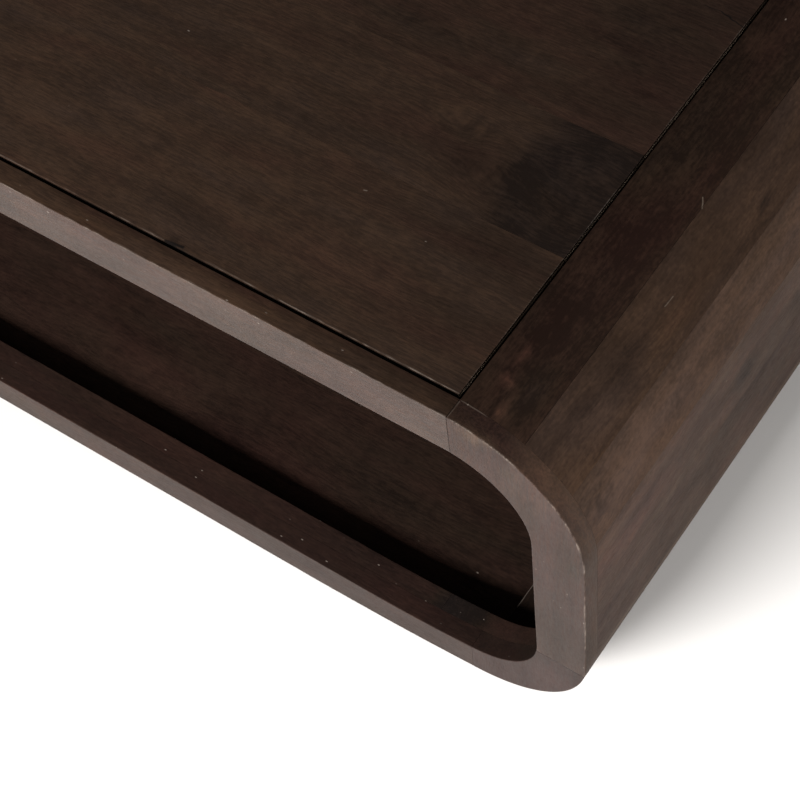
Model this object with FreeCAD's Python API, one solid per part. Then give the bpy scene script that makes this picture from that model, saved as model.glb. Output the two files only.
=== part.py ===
import FreeCAD, Part
import math
import os

# A low coffee table of dark stained hardwood: a hollow rounded box, open at the front and the back.
# X runs along the length, Y from the front (minus) to the back (plus), and Z up from the floor.
# The origin is on the floor under the middle of the table. Lengths are in millimetres.

# Driving dimensions
table_length = 1200.0
table_depth = 700.0
table_height = 400.0

# Outline of the ring that frames the opening, outside and inside
corner_radius = 119.0
top_rail_height = 46.0
side_rail_width = 46.0
bottom_rail_height = 37.5
opening_corner_radius = 73.0

# The underside lifts gently on its way to the lower corners, and so does the lip inside
underside_lift_length = 171.0
underside_lift_radius = 1780.0
lip_lift_length = 100.0
lip_lift_radius = 813.0

# Board thicknesses
outer_layer_thickness = 18.0
inner_layer_thickness = 18.0
top_thickness = 18.0
stave_thickness = 18.0
floor_thickness = 18.0

# Joints between the pieces of the rings
rail_joint_inset = 112.0
side_joint_height = 107.0
inner_joint_stagger = 43.0
inner_side_joint_height = 190.0
floor_joint_offset = 6.5

# Gap round the top panel, and the softened edges
panel_gap = 3.0
ring_edge_radius = 1.5
lip_edge_radius = 1.2
panel_edge_radius = 1.2
gap_edge_radius = 0.8

# Boards of the top and the floor, as shares of the panel's width from the front to the back
top_board_shares = (0.211, 0.172, 0.289, 0.167, 0.161)
floor_board_shares = (0.215, 0.185, 0.200, 0.185, 0.215)

# Edges between the staves: angles from upright in the upper corner, and below level in the lower one
upper_stave_angles = (30.3, 55.8, 82.4)
lower_stave_angles = (4.2, 32.0, 60.0)

# Battens and end rails under the top panel
batten_width = 60.0
batten_thickness = 22.0
batten_place_shares = (-0.5, 0.0, 0.5)
end_rail_inside = 40.0
end_rail_outside = 20.0

# Screws that hold the battens and the end rails to the top boards, in slotted holes
screw_shank_diameter = 4.0
screw_head_diameter = 9.0
screw_head_height = 3.0
screw_bite = 12.0
screw_recess_width = 1.6
screw_recess_depth = 1.5
slot_side_clearance = 0.5
slot_end_clearance = 1.5
head_pocket_clearance = 1.0

# Screws that hold the floor boards to the inner bottom rails
floor_screw_head_diameter = 8.0
floor_screw_head_height = 2.6
floor_screw_place_shares = (-0.9, -0.3, 0.3, 0.9)
floor_screw_clearance = 0.2

# Glides under the base, each with its nail
glide_diameter = 24.0
glide_stand = 4.0
glide_inset = 46.0
glide_edge_radius = 1.0
glide_pocket_depth = 2.2
glide_pocket_diameter = 9.0
glide_place_shares = (-1.0, 0.0, 1.0)
nail_diameter = 2.4
nail_head_diameter = 7.0
nail_head_height = 1.0
nail_bite = 13.0

# How far a cutting shape runs past what it cuts
overrun = 5.0

# Places worked out from the sizes above
half_length = table_length / 2
half_depth = table_depth / 2
ring_top = table_height
ring_base = glide_stand
corner_x = half_length - corner_radius
flat_base_x = corner_x - underside_lift_length
opening_half = half_length - side_rail_width
rail_joint_x = half_length - rail_joint_inset
inner_joint_x = rail_joint_x - inner_joint_stagger
floor_joint_x = rail_joint_x + floor_joint_offset
outer_layer_back = -half_depth + outer_layer_thickness
inner_layer_back = outer_layer_back + inner_layer_thickness
panel_half_length = rail_joint_x - panel_gap
panel_half_width = -outer_layer_back - panel_gap
panel_underside = ring_top - top_thickness
rail_underside = ring_top - top_rail_height
floor_top = ring_base + floor_thickness

origin = FreeCAD.Vector(0, 0, 0)
along_x = FreeCAD.Vector(1, 0, 0)
along_y = FreeCAD.Vector(0, 1, 0)

pieces = {}


def block(low_x, high_x, low_y, high_y, low_z, high_z):
    """A box between two corners."""
    corner = FreeCAD.Vector(low_x, low_y, low_z)
    return Part.makeBox(high_x - low_x, high_y - low_y, high_z - low_z, corner)


def straight(start, end):
    """A straight edge in the XZ plane between two (x, z) points."""
    ends = [FreeCAD.Vector(x, 0, z) for x, z in (start, end)]
    return Part.LineSegment(*ends).toShape()


def bend(centre, radius, start_way, end_way):
    """An arc in the XZ plane about a centre, from one direction to another, each a unit (x, z) pair."""
    length = math.hypot(start_way[0] + end_way[0], start_way[1] + end_way[1])
    middle_way = ((start_way[0] + end_way[0]) / length, (start_way[1] + end_way[1]) / length)
    points = []
    for way in (start_way, middle_way, end_way):
        points.append(FreeCAD.Vector(centre[0] + radius * way[0], 0, centre[1] + radius * way[1]))
    return Part.Arc(*points).toShape()


def lower_corner_z(bottom, radius, lift_length, lift_radius):
    """Height of the lower corner's centre, where its arc meets the gentle lift without a kink."""
    return bottom + lift_radius - math.sqrt((lift_radius - radius) ** 2 - lift_length ** 2)


def outline(half_width, top, bottom, radius, lift_length, lift_radius):
    """Closed face in the XZ plane: level top, round corners, and an underside that lifts near its ends."""
    centre_x = half_width - radius
    flat_x = centre_x - lift_length
    centre_z = lower_corner_z(bottom, radius, lift_length, lift_radius)
    lift_centre = (flat_x, bottom + lift_radius)
    reach = lift_radius - radius
    turn_way = ((centre_x - lift_centre[0]) / reach, (centre_z - lift_centre[1]) / reach)
    right_edges = [
        straight((0, top), (centre_x, top)),
        bend((centre_x, top - radius), radius, (0, 1), (1, 0)),
        straight((half_width, top - radius), (half_width, centre_z)),
        bend((centre_x, centre_z), radius, (1, 0), turn_way),
        bend(lift_centre, lift_radius, turn_way, (0, -1)),
        straight((flat_x, bottom), (0, bottom)),
    ]
    left_edges = [edge.mirror(origin, along_x) for edge in right_edges]
    wire = Part.Wire(Part.__sortEdges__(right_edges + left_edges))
    return Part.Face(wire)


def through_depth(face, low_y, high_y):
    """A face of the XZ plane carried from one depth to another."""
    placed = face.translated(FreeCAD.Vector(0, low_y, 0))
    return placed.extrude(FreeCAD.Vector(0, high_y - low_y, 0)).removeSplitter()


def outer_solid(low_y, high_y, inset=0):
    """The table's outer form, or the same form shrunk evenly by an inset."""
    face = outline(half_length - inset, ring_top - inset, ring_base + inset, corner_radius - inset,
                   underside_lift_length, underside_lift_radius - inset)
    return through_depth(face, low_y, high_y)


def opening_solid(low_y, high_y):
    """The space inside the rings."""
    face = outline(opening_half, rail_underside, ring_base + bottom_rail_height,
                   opening_corner_radius, lip_lift_length, lip_lift_radius)
    return through_depth(face, low_y, high_y)


def end_wall_band(low_y, high_y):
    """The right end wall before it is divided: it starts at the top joint and ends at the floor joint."""
    band = outer_solid(low_y, high_y)
    band = band.cut(outer_solid(low_y - overrun, high_y + overrun, stave_thickness))
    middle = table_height / 2
    above = block(rail_joint_x, half_length + overrun, low_y, high_y, middle, ring_top + overrun)
    below = block(floor_joint_x, half_length + overrun, low_y, high_y, ring_base - overrun, middle)
    return band.common(above.fuse(below))


def mirrored(shape, direction):
    """The same shape on the other side of the middle."""
    return shape.mirror(origin, direction)


def soften(shape, radius, belongs):
    """Rounds the edges that a test picks out."""
    edges = [edge for edge in shape.Edges if belongs(edge)]
    return shape.makeFillet(radius, edges)


def lies_at(edge, axis, place):
    """True where a whole edge lies at one place along an axis (0 for X, 1 for Y, 2 for Z)."""
    box = edge.BoundBox
    low = (box.XMin, box.YMin, box.ZMin)[axis]
    high = (box.XMax, box.YMax, box.ZMax)[axis]
    tolerance = overrun / 100
    return abs(low - place) < tolerance and abs(high - place) < tolerance


def add(name, shape):
    """Keeps a finished piece under its name."""
    pieces[name] = shape.removeSplitter()


def add_on_four_sides(name, shape):
    """Keeps a front right piece and its copies at the left and at the back."""
    for side, at_side in (("right", shape), ("left", mirrored(shape, along_x))):
        add("front_" + side + "_" + name, at_side)
        add("back_" + side + "_" + name, mirrored(at_side, along_y))


def add_front_and_back(name, shape):
    """Keeps a front piece and its copy at the back."""
    add("front_" + name, shape)
    add("back_" + name, mirrored(shape, along_y))


def limits_from_shares(shares, half_width):
    """Edges of the boards of a panel, from the front to the back."""
    places = [-half_width]
    for share in shares:
        places.append(places[-1] + share * 2 * half_width / sum(shares))
    return places


# Outer layer of the rings: flat boards with the grain along each piece
def make_outer_layer():
    front = -half_depth
    plate = outer_solid(front, outer_layer_back)
    plate = plate.cut(opening_solid(front - overrun, outer_layer_back + overrun))
    plate = soften(plate, ring_edge_radius, lambda edge: lies_at(edge, 1, front))
    low_y = front - overrun
    high_y = outer_layer_back + overrun
    low_z = ring_base - overrun
    high_z = ring_top + overrun
    far_x = half_length + overrun
    middle = table_height / 2
    side_joint_z = ring_base + side_joint_height

    top_rail = plate.common(block(-rail_joint_x, rail_joint_x, low_y, high_y, middle, high_z))
    top_rail = soften(top_rail, gap_edge_radius,
                      lambda edge: lies_at(edge, 1, outer_layer_back) and lies_at(edge, 2, ring_top))
    add_front_and_back("top_rail", top_rail)
    bottom_rail = plate.common(block(-rail_joint_x, rail_joint_x, low_y, high_y, low_z, middle))
    add_front_and_back("bottom_rail", bottom_rail)
    upper = plate.common(block(rail_joint_x, far_x, low_y, high_y, side_joint_z, high_z))
    add_on_four_sides("upper_corner", upper)
    lower = plate.common(block(rail_joint_x, far_x, low_y, high_y, low_z, side_joint_z))
    add_on_four_sides("lower_corner", lower)


def panel_slab(low_y, high_y):
    """The room between the two end walls that the top panel takes, gaps included."""
    return block(-rail_joint_x, rail_joint_x, low_y, high_y, panel_underside, ring_top + overrun)


# Inner layer of the rings: it carries the top panel, backs the end walls and stands on the floor boards
def make_inner_layer(floor_screws):
    low_y = outer_layer_back - overrun
    high_y = inner_layer_back + overrun
    plate = outer_solid(outer_layer_back, inner_layer_back)
    plate = plate.cut(opening_solid(low_y, high_y))
    plate = soften(plate, lip_edge_radius, lambda edge: lies_at(edge, 1, inner_layer_back))
    band = end_wall_band(low_y, high_y)
    plate = plate.cut(band).cut(mirrored(band, along_x)).cut(panel_slab(low_y, high_y))
    floor_slab = block(-floor_joint_x, floor_joint_x, low_y, high_y, ring_base - overrun, floor_top)
    plate = plate.cut(floor_slab)
    low_z = ring_base - overrun
    high_z = ring_top + overrun
    far_x = half_length + overrun
    middle = table_height / 2
    joint_z = ring_base + inner_side_joint_height

    top_rail = plate.common(block(-inner_joint_x, inner_joint_x, low_y, high_y, middle, high_z))
    add_front_and_back("inner_top_rail", top_rail)
    bottom_rail = plate.common(block(-inner_joint_x, inner_joint_x, low_y, high_y, low_z, middle))
    bottom_rail = bottom_rail.cut(floor_screws)
    add_front_and_back("inner_bottom_rail", bottom_rail)
    upper = plate.common(block(inner_joint_x, far_x, low_y, high_y, joint_z, high_z))
    add_on_four_sides("inner_upper_corner", upper)
    lower = plate.common(block(inner_joint_x, far_x, low_y, high_y, low_z, joint_z))
    add_on_four_sides("inner_lower_corner", lower)


# End walls: staves along the depth, glued edge to edge round the corners
def make_end_walls():
    low_y = outer_layer_back
    high_y = -outer_layer_back
    band = end_wall_band(low_y, high_y)
    upper_z = ring_top - corner_radius
    lower_z = lower_corner_z(ring_base, corner_radius, underside_lift_length, underside_lift_radius)
    cuts = [((rail_joint_x, upper_z), (0, 1))]
    for angle in upper_stave_angles:
        turn = math.radians(angle)
        cuts.append(((corner_x, upper_z), (math.sin(turn), math.cos(turn))))
    cuts.append(((corner_x, (upper_z + lower_z) / 2), (1, 0)))
    for angle in lower_stave_angles:
        turn = math.radians(angle)
        cuts.append(((corner_x, lower_z), (math.cos(turn), -math.sin(turn))))
    cuts.append(((floor_joint_x, lower_z), (0, -1)))
    reach = 2 * corner_radius + overrun
    for number in range(len(cuts) - 1):
        corners = []
        for place, way in (cuts[number], cuts[number + 1]):
            near = FreeCAD.Vector(place[0], 0, place[1])
            far = near + FreeCAD.Vector(way[0] * reach, 0, way[1] * reach)
            corners.append((near, far))
        loop = [corners[0][0], corners[0][1], corners[1][1], corners[1][0], corners[0][0]]
        wedge = through_depth(Part.Face(Part.makePolygon(loop)), low_y - overrun, high_y + overrun)
        stave = band.common(wedge)
        if number == 0:
            stave = soften(stave, gap_edge_radius, is_gap_edge)
        add("right_stave_%d" % (number + 1), stave)
        add("left_stave_%d" % (number + 1), mirrored(stave, along_x))


def is_gap_edge(edge):
    """True for the upper edge of the end wall beside the gap."""
    return lies_at(edge, 0, rail_joint_x) and edge.BoundBox.ZMin > ring_top - gap_edge_radius


def screw(place, shank_length):
    """A round headed screw: the head's flat side is at the place, and the shank runs up from it."""
    foot_z = place.z - screw_head_height
    foot = FreeCAD.Vector(place.x, place.y, foot_z)
    head = Part.makeCylinder(screw_head_diameter / 2, screw_head_height, foot)
    head = soften(head, screw_head_height / 2, lambda edge: lies_at(edge, 2, foot_z))
    shank = Part.makeCylinder(screw_shank_diameter / 2, shank_length, place)
    body = head.fuse(shank).removeSplitter()
    arm = screw_head_diameter / 4
    half_slot = screw_recess_width / 2
    for reach_x, reach_y in ((arm, half_slot), (half_slot, arm)):
        cutter = block(place.x - reach_x, place.x + reach_x, place.y - reach_y, place.y + reach_y,
                       foot_z - overrun, foot_z + screw_recess_depth)
        body = body.cut(cutter)
    return body


def slot_for_screw(place, top_z, bottom_z):
    """A slotted hole along the depth, with a pocket below for the head."""
    half_width = screw_shank_diameter / 2 + slot_side_clearance
    half_travel = slot_end_clearance
    pocket_radius = screw_head_diameter / 2 + head_pocket_clearance
    cutter = None
    for radius, low_z, high_z in ((half_width, bottom_z - overrun, top_z + overrun),
                                  (pocket_radius, bottom_z - overrun, place.z)):
        height = high_z - low_z
        middle = block(place.x - radius, place.x + radius, place.y - half_travel, place.y + half_travel,
                       low_z, high_z)
        ends = []
        for shift in (-half_travel, half_travel):
            ends.append(Part.makeCylinder(radius, height, FreeCAD.Vector(place.x, place.y + shift, low_z)))
        part_of_slot = middle.fuse(ends)
        cutter = part_of_slot if cutter is None else cutter.fuse(part_of_slot)
    return cutter


# Top panel: boards along the length, with battens and end rails below and screws from underneath
def make_top():
    limits = limits_from_shares(top_board_shares, panel_half_width)
    board_middles = [(limits[i] + limits[i + 1]) / 2 for i in range(len(top_board_shares))]
    rail_half = -inner_layer_back
    carriers = []
    for number, share in enumerate(batten_place_shares):
        middle_x = share * panel_half_length
        low_x = middle_x - batten_width / 2
        high_x = middle_x + batten_width / 2
        bottom_z = panel_underside - batten_thickness
        batten = block(low_x, high_x, -rail_half, rail_half, bottom_z, panel_underside)
        carriers.append(("top_batten_%d" % (number + 1), batten, middle_x, bottom_z))
    end_rail = block(rail_joint_x - end_rail_inside, rail_joint_x + end_rail_outside,
                     -rail_half, rail_half, rail_underside, ring_top)
    end_rail = end_rail.common(outer_solid(-rail_half, rail_half))
    end_rail = end_rail.cut(panel_slab(-rail_half - overrun, rail_half + overrun))
    end_rail = end_rail.cut(end_wall_band(-rail_half - overrun, rail_half + overrun))
    end_screw_x = rail_joint_x - (end_rail_inside + panel_gap) / 2
    carriers.append(("right_end_rail", end_rail, end_screw_x, rail_underside))
    carriers.append(("left_end_rail", mirrored(end_rail, along_x), -end_screw_x, rail_underside))

    screws = []
    pilots = []
    for name, carrier, screw_x, bottom_z in carriers:
        head_z = bottom_z + screw_head_height
        for board_y in board_middles:
            place = FreeCAD.Vector(screw_x, board_y, head_z)
            carrier = carrier.cut(slot_for_screw(place, panel_underside, bottom_z))
            shank_length = panel_underside - head_z + screw_bite
            screws.append(screw(place, shank_length))
            foot = FreeCAD.Vector(place.x, place.y, panel_underside - overrun)
            pilots.append(Part.makeCylinder(screw_shank_diameter / 2, screw_bite + overrun, foot))
        add(name, carrier)
    pieces["top_screws"] = Part.makeCompound(screws)
    holes = Part.makeCompound(pilots)

    def is_outer_edge(edge):
        at_end = lies_at(edge, 0, panel_half_length) or lies_at(edge, 0, -panel_half_length)
        at_side = lies_at(edge, 1, panel_half_width) or lies_at(edge, 1, -panel_half_width)
        return lies_at(edge, 2, ring_top) and (at_end or at_side)

    for number in range(len(top_board_shares)):
        board = block(-panel_half_length, panel_half_length, limits[number], limits[number + 1],
                      panel_underside, ring_top)
        board = soften(board, panel_edge_radius, is_outer_edge)
        add("top_board_%d" % (number + 1), board.cut(holes))


def floor_screw_places():
    """Screws in two rows, under the middles of the front and the back inner bottom rail."""
    row_y = (outer_layer_back + inner_layer_back) / 2
    places = []
    for y in (row_y, -row_y):
        for share in floor_screw_place_shares:
            places.append(FreeCAD.Vector(share * flat_base_x, y, ring_base))
    return places


def floor_screw(place, clearance=0):
    """A countersunk screw from below, or with a clearance the hole that it needs in the floor board."""
    head_radius = floor_screw_head_diameter / 2 + clearance
    shank_radius = screw_shank_diameter / 2 + clearance
    head = Part.makeCone(head_radius, shank_radius, floor_screw_head_height, place)
    shank = Part.makeCylinder(shank_radius, floor_thickness + screw_bite, place)
    return head.fuse(shank)


def glide_places():
    """Glides in two rows on the level stretch of the base."""
    reach = flat_base_x - glide_diameter / 2
    places = []
    for y in (-half_depth + glide_inset, half_depth - glide_inset):
        for share in glide_place_shares:
            places.append(FreeCAD.Vector(share * reach, y, 0))
    return places


def glide_nail(place):
    """A nail whose head sits in the pocket of its glide."""
    head_foot = FreeCAD.Vector(place.x, place.y, glide_pocket_depth - nail_head_height)
    head = Part.makeCylinder(nail_head_diameter / 2, nail_head_height, head_foot)
    shank_length = ring_base - head_foot.z + nail_bite
    shank = Part.makeCylinder(nail_diameter / 2, shank_length, head_foot)
    return head.fuse(shank)


def glide(place):
    """A round pad with a soft lower edge, a pocket for the nail's head and a hole for its shank."""
    pad = Part.makeCylinder(glide_diameter / 2, glide_stand, place)
    pad = soften(pad, glide_edge_radius, lambda edge: lies_at(edge, 2, 0))
    pocket_foot = FreeCAD.Vector(place.x, place.y, -overrun)
    pocket = Part.makeCylinder(glide_pocket_diameter / 2, glide_pocket_depth + overrun, pocket_foot)
    hole = Part.makeCylinder(nail_diameter / 2, glide_stand + 2 * overrun, pocket_foot)
    return pad.cut(pocket).cut(hole)


# Shelf floor: boards between the end walls, level with the base, with their screws and the glides
def make_floor():
    half_width = -outer_layer_back
    limits = limits_from_shares(floor_board_shares, half_width)
    body = outer_solid(-half_width, half_width)
    screws = [floor_screw(place) for place in floor_screw_places()]
    holes = [floor_screw(place, floor_screw_clearance) for place in floor_screw_places()]
    nails = [glide_nail(place) for place in glide_places()]
    cutter = Part.makeCompound(holes + nails)
    for number in range(len(floor_board_shares)):
        board = block(-floor_joint_x, floor_joint_x, limits[number], limits[number + 1],
                      ring_base, floor_top)
        add("floor_board_%d" % (number + 1), board.common(body).cut(cutter))
    pieces["floor_screws"] = Part.makeCompound(screws)
    pieces["glide_pads"] = Part.makeCompound([glide(place) for place in glide_places()])
    pieces["glide_nails"] = Part.makeCompound(nails)
    return Part.makeCompound(screws)


make_outer_layer()
make_inner_layer(make_floor())
make_end_walls()
make_top()

os.makedirs("parts", exist_ok=True)
for name, shape in pieces.items():
    shape.exportStep("parts/" + name + ".step")
    print(name, len(shape.Solids), "solids", round(shape.Volume), "mm3", "valid", shape.isValid())
print(len(pieces), "nodes")
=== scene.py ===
"""Looks of a low coffee table: a hollow rounded box of stained mango wood, open at the front and the back.

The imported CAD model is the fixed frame. Each wooden node that shows is replaced by a piece of the same size
that has sanded arrises, small knocks and grain of its own. The hardware keeps its solids and gets a finish.
Shapes are worked out in millimetres, with X along the length, Y to the back and Z up, and go into the meshes
in metres.
"""

import logging
import math
from collections.abc import Callable
from dataclasses import dataclass, replace
from enum import Enum

import bpy
import numpy as np
from mathutils import Matrix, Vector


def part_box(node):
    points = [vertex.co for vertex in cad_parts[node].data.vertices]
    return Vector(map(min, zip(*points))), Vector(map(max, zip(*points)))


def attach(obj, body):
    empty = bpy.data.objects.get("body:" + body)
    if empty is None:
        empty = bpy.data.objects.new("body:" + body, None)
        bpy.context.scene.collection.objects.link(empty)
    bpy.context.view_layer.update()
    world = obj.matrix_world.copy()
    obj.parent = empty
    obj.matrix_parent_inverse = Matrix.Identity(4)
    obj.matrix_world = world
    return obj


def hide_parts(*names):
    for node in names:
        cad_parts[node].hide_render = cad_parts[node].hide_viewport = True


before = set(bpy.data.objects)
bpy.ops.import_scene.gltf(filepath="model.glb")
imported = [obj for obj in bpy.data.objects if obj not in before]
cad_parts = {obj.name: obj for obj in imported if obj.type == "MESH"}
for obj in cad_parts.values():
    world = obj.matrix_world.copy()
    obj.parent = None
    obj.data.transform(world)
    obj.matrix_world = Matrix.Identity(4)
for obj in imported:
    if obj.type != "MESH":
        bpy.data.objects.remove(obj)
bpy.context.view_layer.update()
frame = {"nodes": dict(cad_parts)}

logging.basicConfig(level=logging.INFO, format="%(message)s")
log = logging.getLogger("coffee_table")

Array = np.ndarray
Triple = tuple[float, float, float]
Four = tuple[float, float, float, float]
Curve = Callable[[Array], Array | float]
Material = bpy.types.Material
Tree = bpy.types.NodeTree
Socket = bpy.types.NodeSocket

MM = 0.001
BODY = "root"
# Random heights of a wandering curve, and rows and columns of a wandering surface, before they repeat
HEIGHTS = 509
LATTICE = (127, 131)
# Points of the dense tables that stand for an outline, for one stretch of a ribbon and for a whole rail
OUTLINE_POINTS = 4001
STRETCH_POINTS = 400
RAIL_POINTS = 1600
# Angles of the rows of points round a piece's rounded end, from the end's face to the piece's sides
END_TURN = np.linspace(0.0, math.pi / 2, 4)
# Where the next row stands and where the evenly spaced rows may start, in easings from the end
NEXT_ROW = 2.5
FREE_ROWS = 4
# Where the flat beside a rounded arris starts, in radii from the sharp corner
FLAT_START = 2.0
# Waves as (wavelength in millimetres, weight, seed's step): of an arris, of a sawn joint, and of rubbing,
# which pales an arris as wear and as a painted highlight
ARRIS_WAVES = ((34.0, 0.7, 0), (7.0, 0.3, 5))
JOINT_WAVES = ((15.0, 0.6, 91), (5.0, 0.4, 92))
RUB_WAVES = ((23.0, 0.5, 21), (5.0, 0.6, 22))
NICK_WAVES = ((21.0, 0.7, 23),)
# Share of an arris that is paled, as wear and as a painted highlight, before the waves are added
RUB_SHARE = 0.4
# Length in millimetres over which a joint's wavering fades along the piece
JOINT_FADE = 6.0
# Wavelengths of hand sanding, and the lengths that stand for the way round a section, in millimetres
SANDING_WAVES = (70.0, 55.0)
ROUND_SECTION = (300.0, 90.0)
# Share of the dark line of a joint that reaches the two rows beside it
LINE_SPREAD = 0.3
# Pieces are cut from this many places in the tree
TREE_PLACES = 97
# Edges that turn by more degrees than this stay sharp
SHARP_TURN = 31.0


class Grain(Enum):
    """The way the fibres of a piece run, as the turn in degrees that brings them in line with X."""

    LENGTH = (0.0, 0.0, 0.0)
    DEPTH = (0.0, 0.0, -90.0)
    HEIGHT = (0.0, 90.0, 0.0)


class Side(Enum):
    """An end of the table, with the sign of its X."""

    RIGHT = 1
    LEFT = -1


class Face(Enum):
    """The front or the back of the table, with the sign that turns a front depth into its own."""

    FRONT = 1
    BACK = -1


def linear(colour: str) -> Four:
    """Turns an sRGB hex colour into linear light.

    Args:
        colour: six hex digits, with or without a leading hash sign.

    Returns:
        Red, green, blue and a full alpha, where each channel c becomes ((c + 0.055) / 1.055) to the power
        of 2.4, or c / 12.92 near black.
    """
    digits = colour.lstrip("#")
    shares = [int(digits[place:place + 2], 16) / 255 for place in (0, 2, 4)]
    light = [s / 12.92 if s <= 0.04045 else ((s + 0.055) / 1.055) ** 2.4 for s in shares]
    return (light[0], light[1], light[2], 1.0)


def add(tree: Tree, kind: str, inputs: dict | None = None, out: str | int = 0,
        **settings: object) -> Socket | None:
    """Adds a node to a tree, with its settings, values and links.

    Args:
        tree: the node tree of a material or the world.
        kind: the node's type name, without the word ShaderNode at its start.
        inputs: sockets by name or number, each with a value or with the socket that it is linked to.
        out: name or number of the output that is used.
        settings: properties of the node itself.

    Returns:
        That output, or None for a node without outputs.
    """
    node = tree.nodes.new("ShaderNode" + kind)
    for name, value in settings.items():
        setattr(node, name, value)
    for name, value in (inputs or {}).items():
        if isinstance(value, Socket):
            tree.links.new(value, node.inputs[name])
        else:
            node.inputs[name].default_value = value
    return node.outputs[out] if len(node.outputs) else None


def blank_material(name: str) -> tuple[Material, Tree]:
    """Makes a material with an empty tree.

    Args:
        name: the material's name.

    Returns:
        The material and its node tree.
    """
    material = bpy.data.materials.new(name)
    material.use_nodes = True
    material.node_tree.nodes.clear()
    return material, material.node_tree


def node_box(node: str) -> tuple[Array, Array]:
    """Gives the lowest and the highest corner of a CAD node, in millimetres."""
    low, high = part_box(node)
    return np.array(low) / MM, np.array(high) / MM


def smooth_steps(place: Array, wavelength: float) -> tuple[Array, Array]:
    """Divides a length into steps of one wavelength.

    Args:
        place: positions in millimetres.
        wavelength: length of a step, in millimetres.

    Returns:
        The number of each place's step, and 3t^2 - 2t^3 of the share t of the step that it has passed.
    """
    station = np.asarray(place, float) / wavelength
    step = np.floor(station).astype(int)
    share = station - step
    return step, share * share * (3.0 - 2.0 * share)


def wander(place: Array, waves: tuple[tuple[float, float, int], ...], seed: int = 0) -> Array:
    """Gives a smooth random curve along a length, the sum of several waves.

    Each wave has random heights one wavelength apart, and runs from one to the next along an S curve.

    Args:
        place: positions in millimetres.
        waves: for each wave its wavelength in millimetres, its weight, and how far its seed is from seed.
        seed: picks the heights.

    Returns:
        Values in the shape of place. A wave of weight 1 gives values between -1 and 1.
    """
    total = 0.0
    for wavelength, weight, seed_step in waves:
        heights = np.random.default_rng(seed + seed_step).uniform(-1.0, 1.0, HEIGHTS)
        step, blend = smooth_steps(place, wavelength)
        total = total + weight * (heights[step % HEIGHTS] * (1.0 - blend)
                                  + heights[(step + 1) % HEIGHTS] * blend)
    return total


def wander_over(along: Array, across: Array, wavelengths: tuple[float, float], seed: int) -> Array:
    """Gives a smooth random surface over two lengths.

    Random heights stand on a lattice, and an S curve blends those of a cell's corners both ways.

    Args:
        along: positions one way, in millimetres.
        across: positions the other way, in millimetres.
        wavelengths: the lattice's spacing both ways, in millimetres.
        seed: picks the heights.

    Returns:
        Values between -1 and 1, in the shape that along and across have together.
    """
    heights = np.random.default_rng(seed).uniform(-1.0, 1.0, LATTICE)
    row, row_blend = smooth_steps(along, wavelengths[0])
    column, column_blend = smooth_steps(across, wavelengths[1])
    rows, columns = LATTICE
    near, far = (heights[line % rows, column % columns] * (1.0 - column_blend)
                 + heights[line % rows, (column + 1) % columns] * column_blend for line in (row, row + 1))
    return near * (1.0 - row_blend) + far * row_blend


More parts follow.
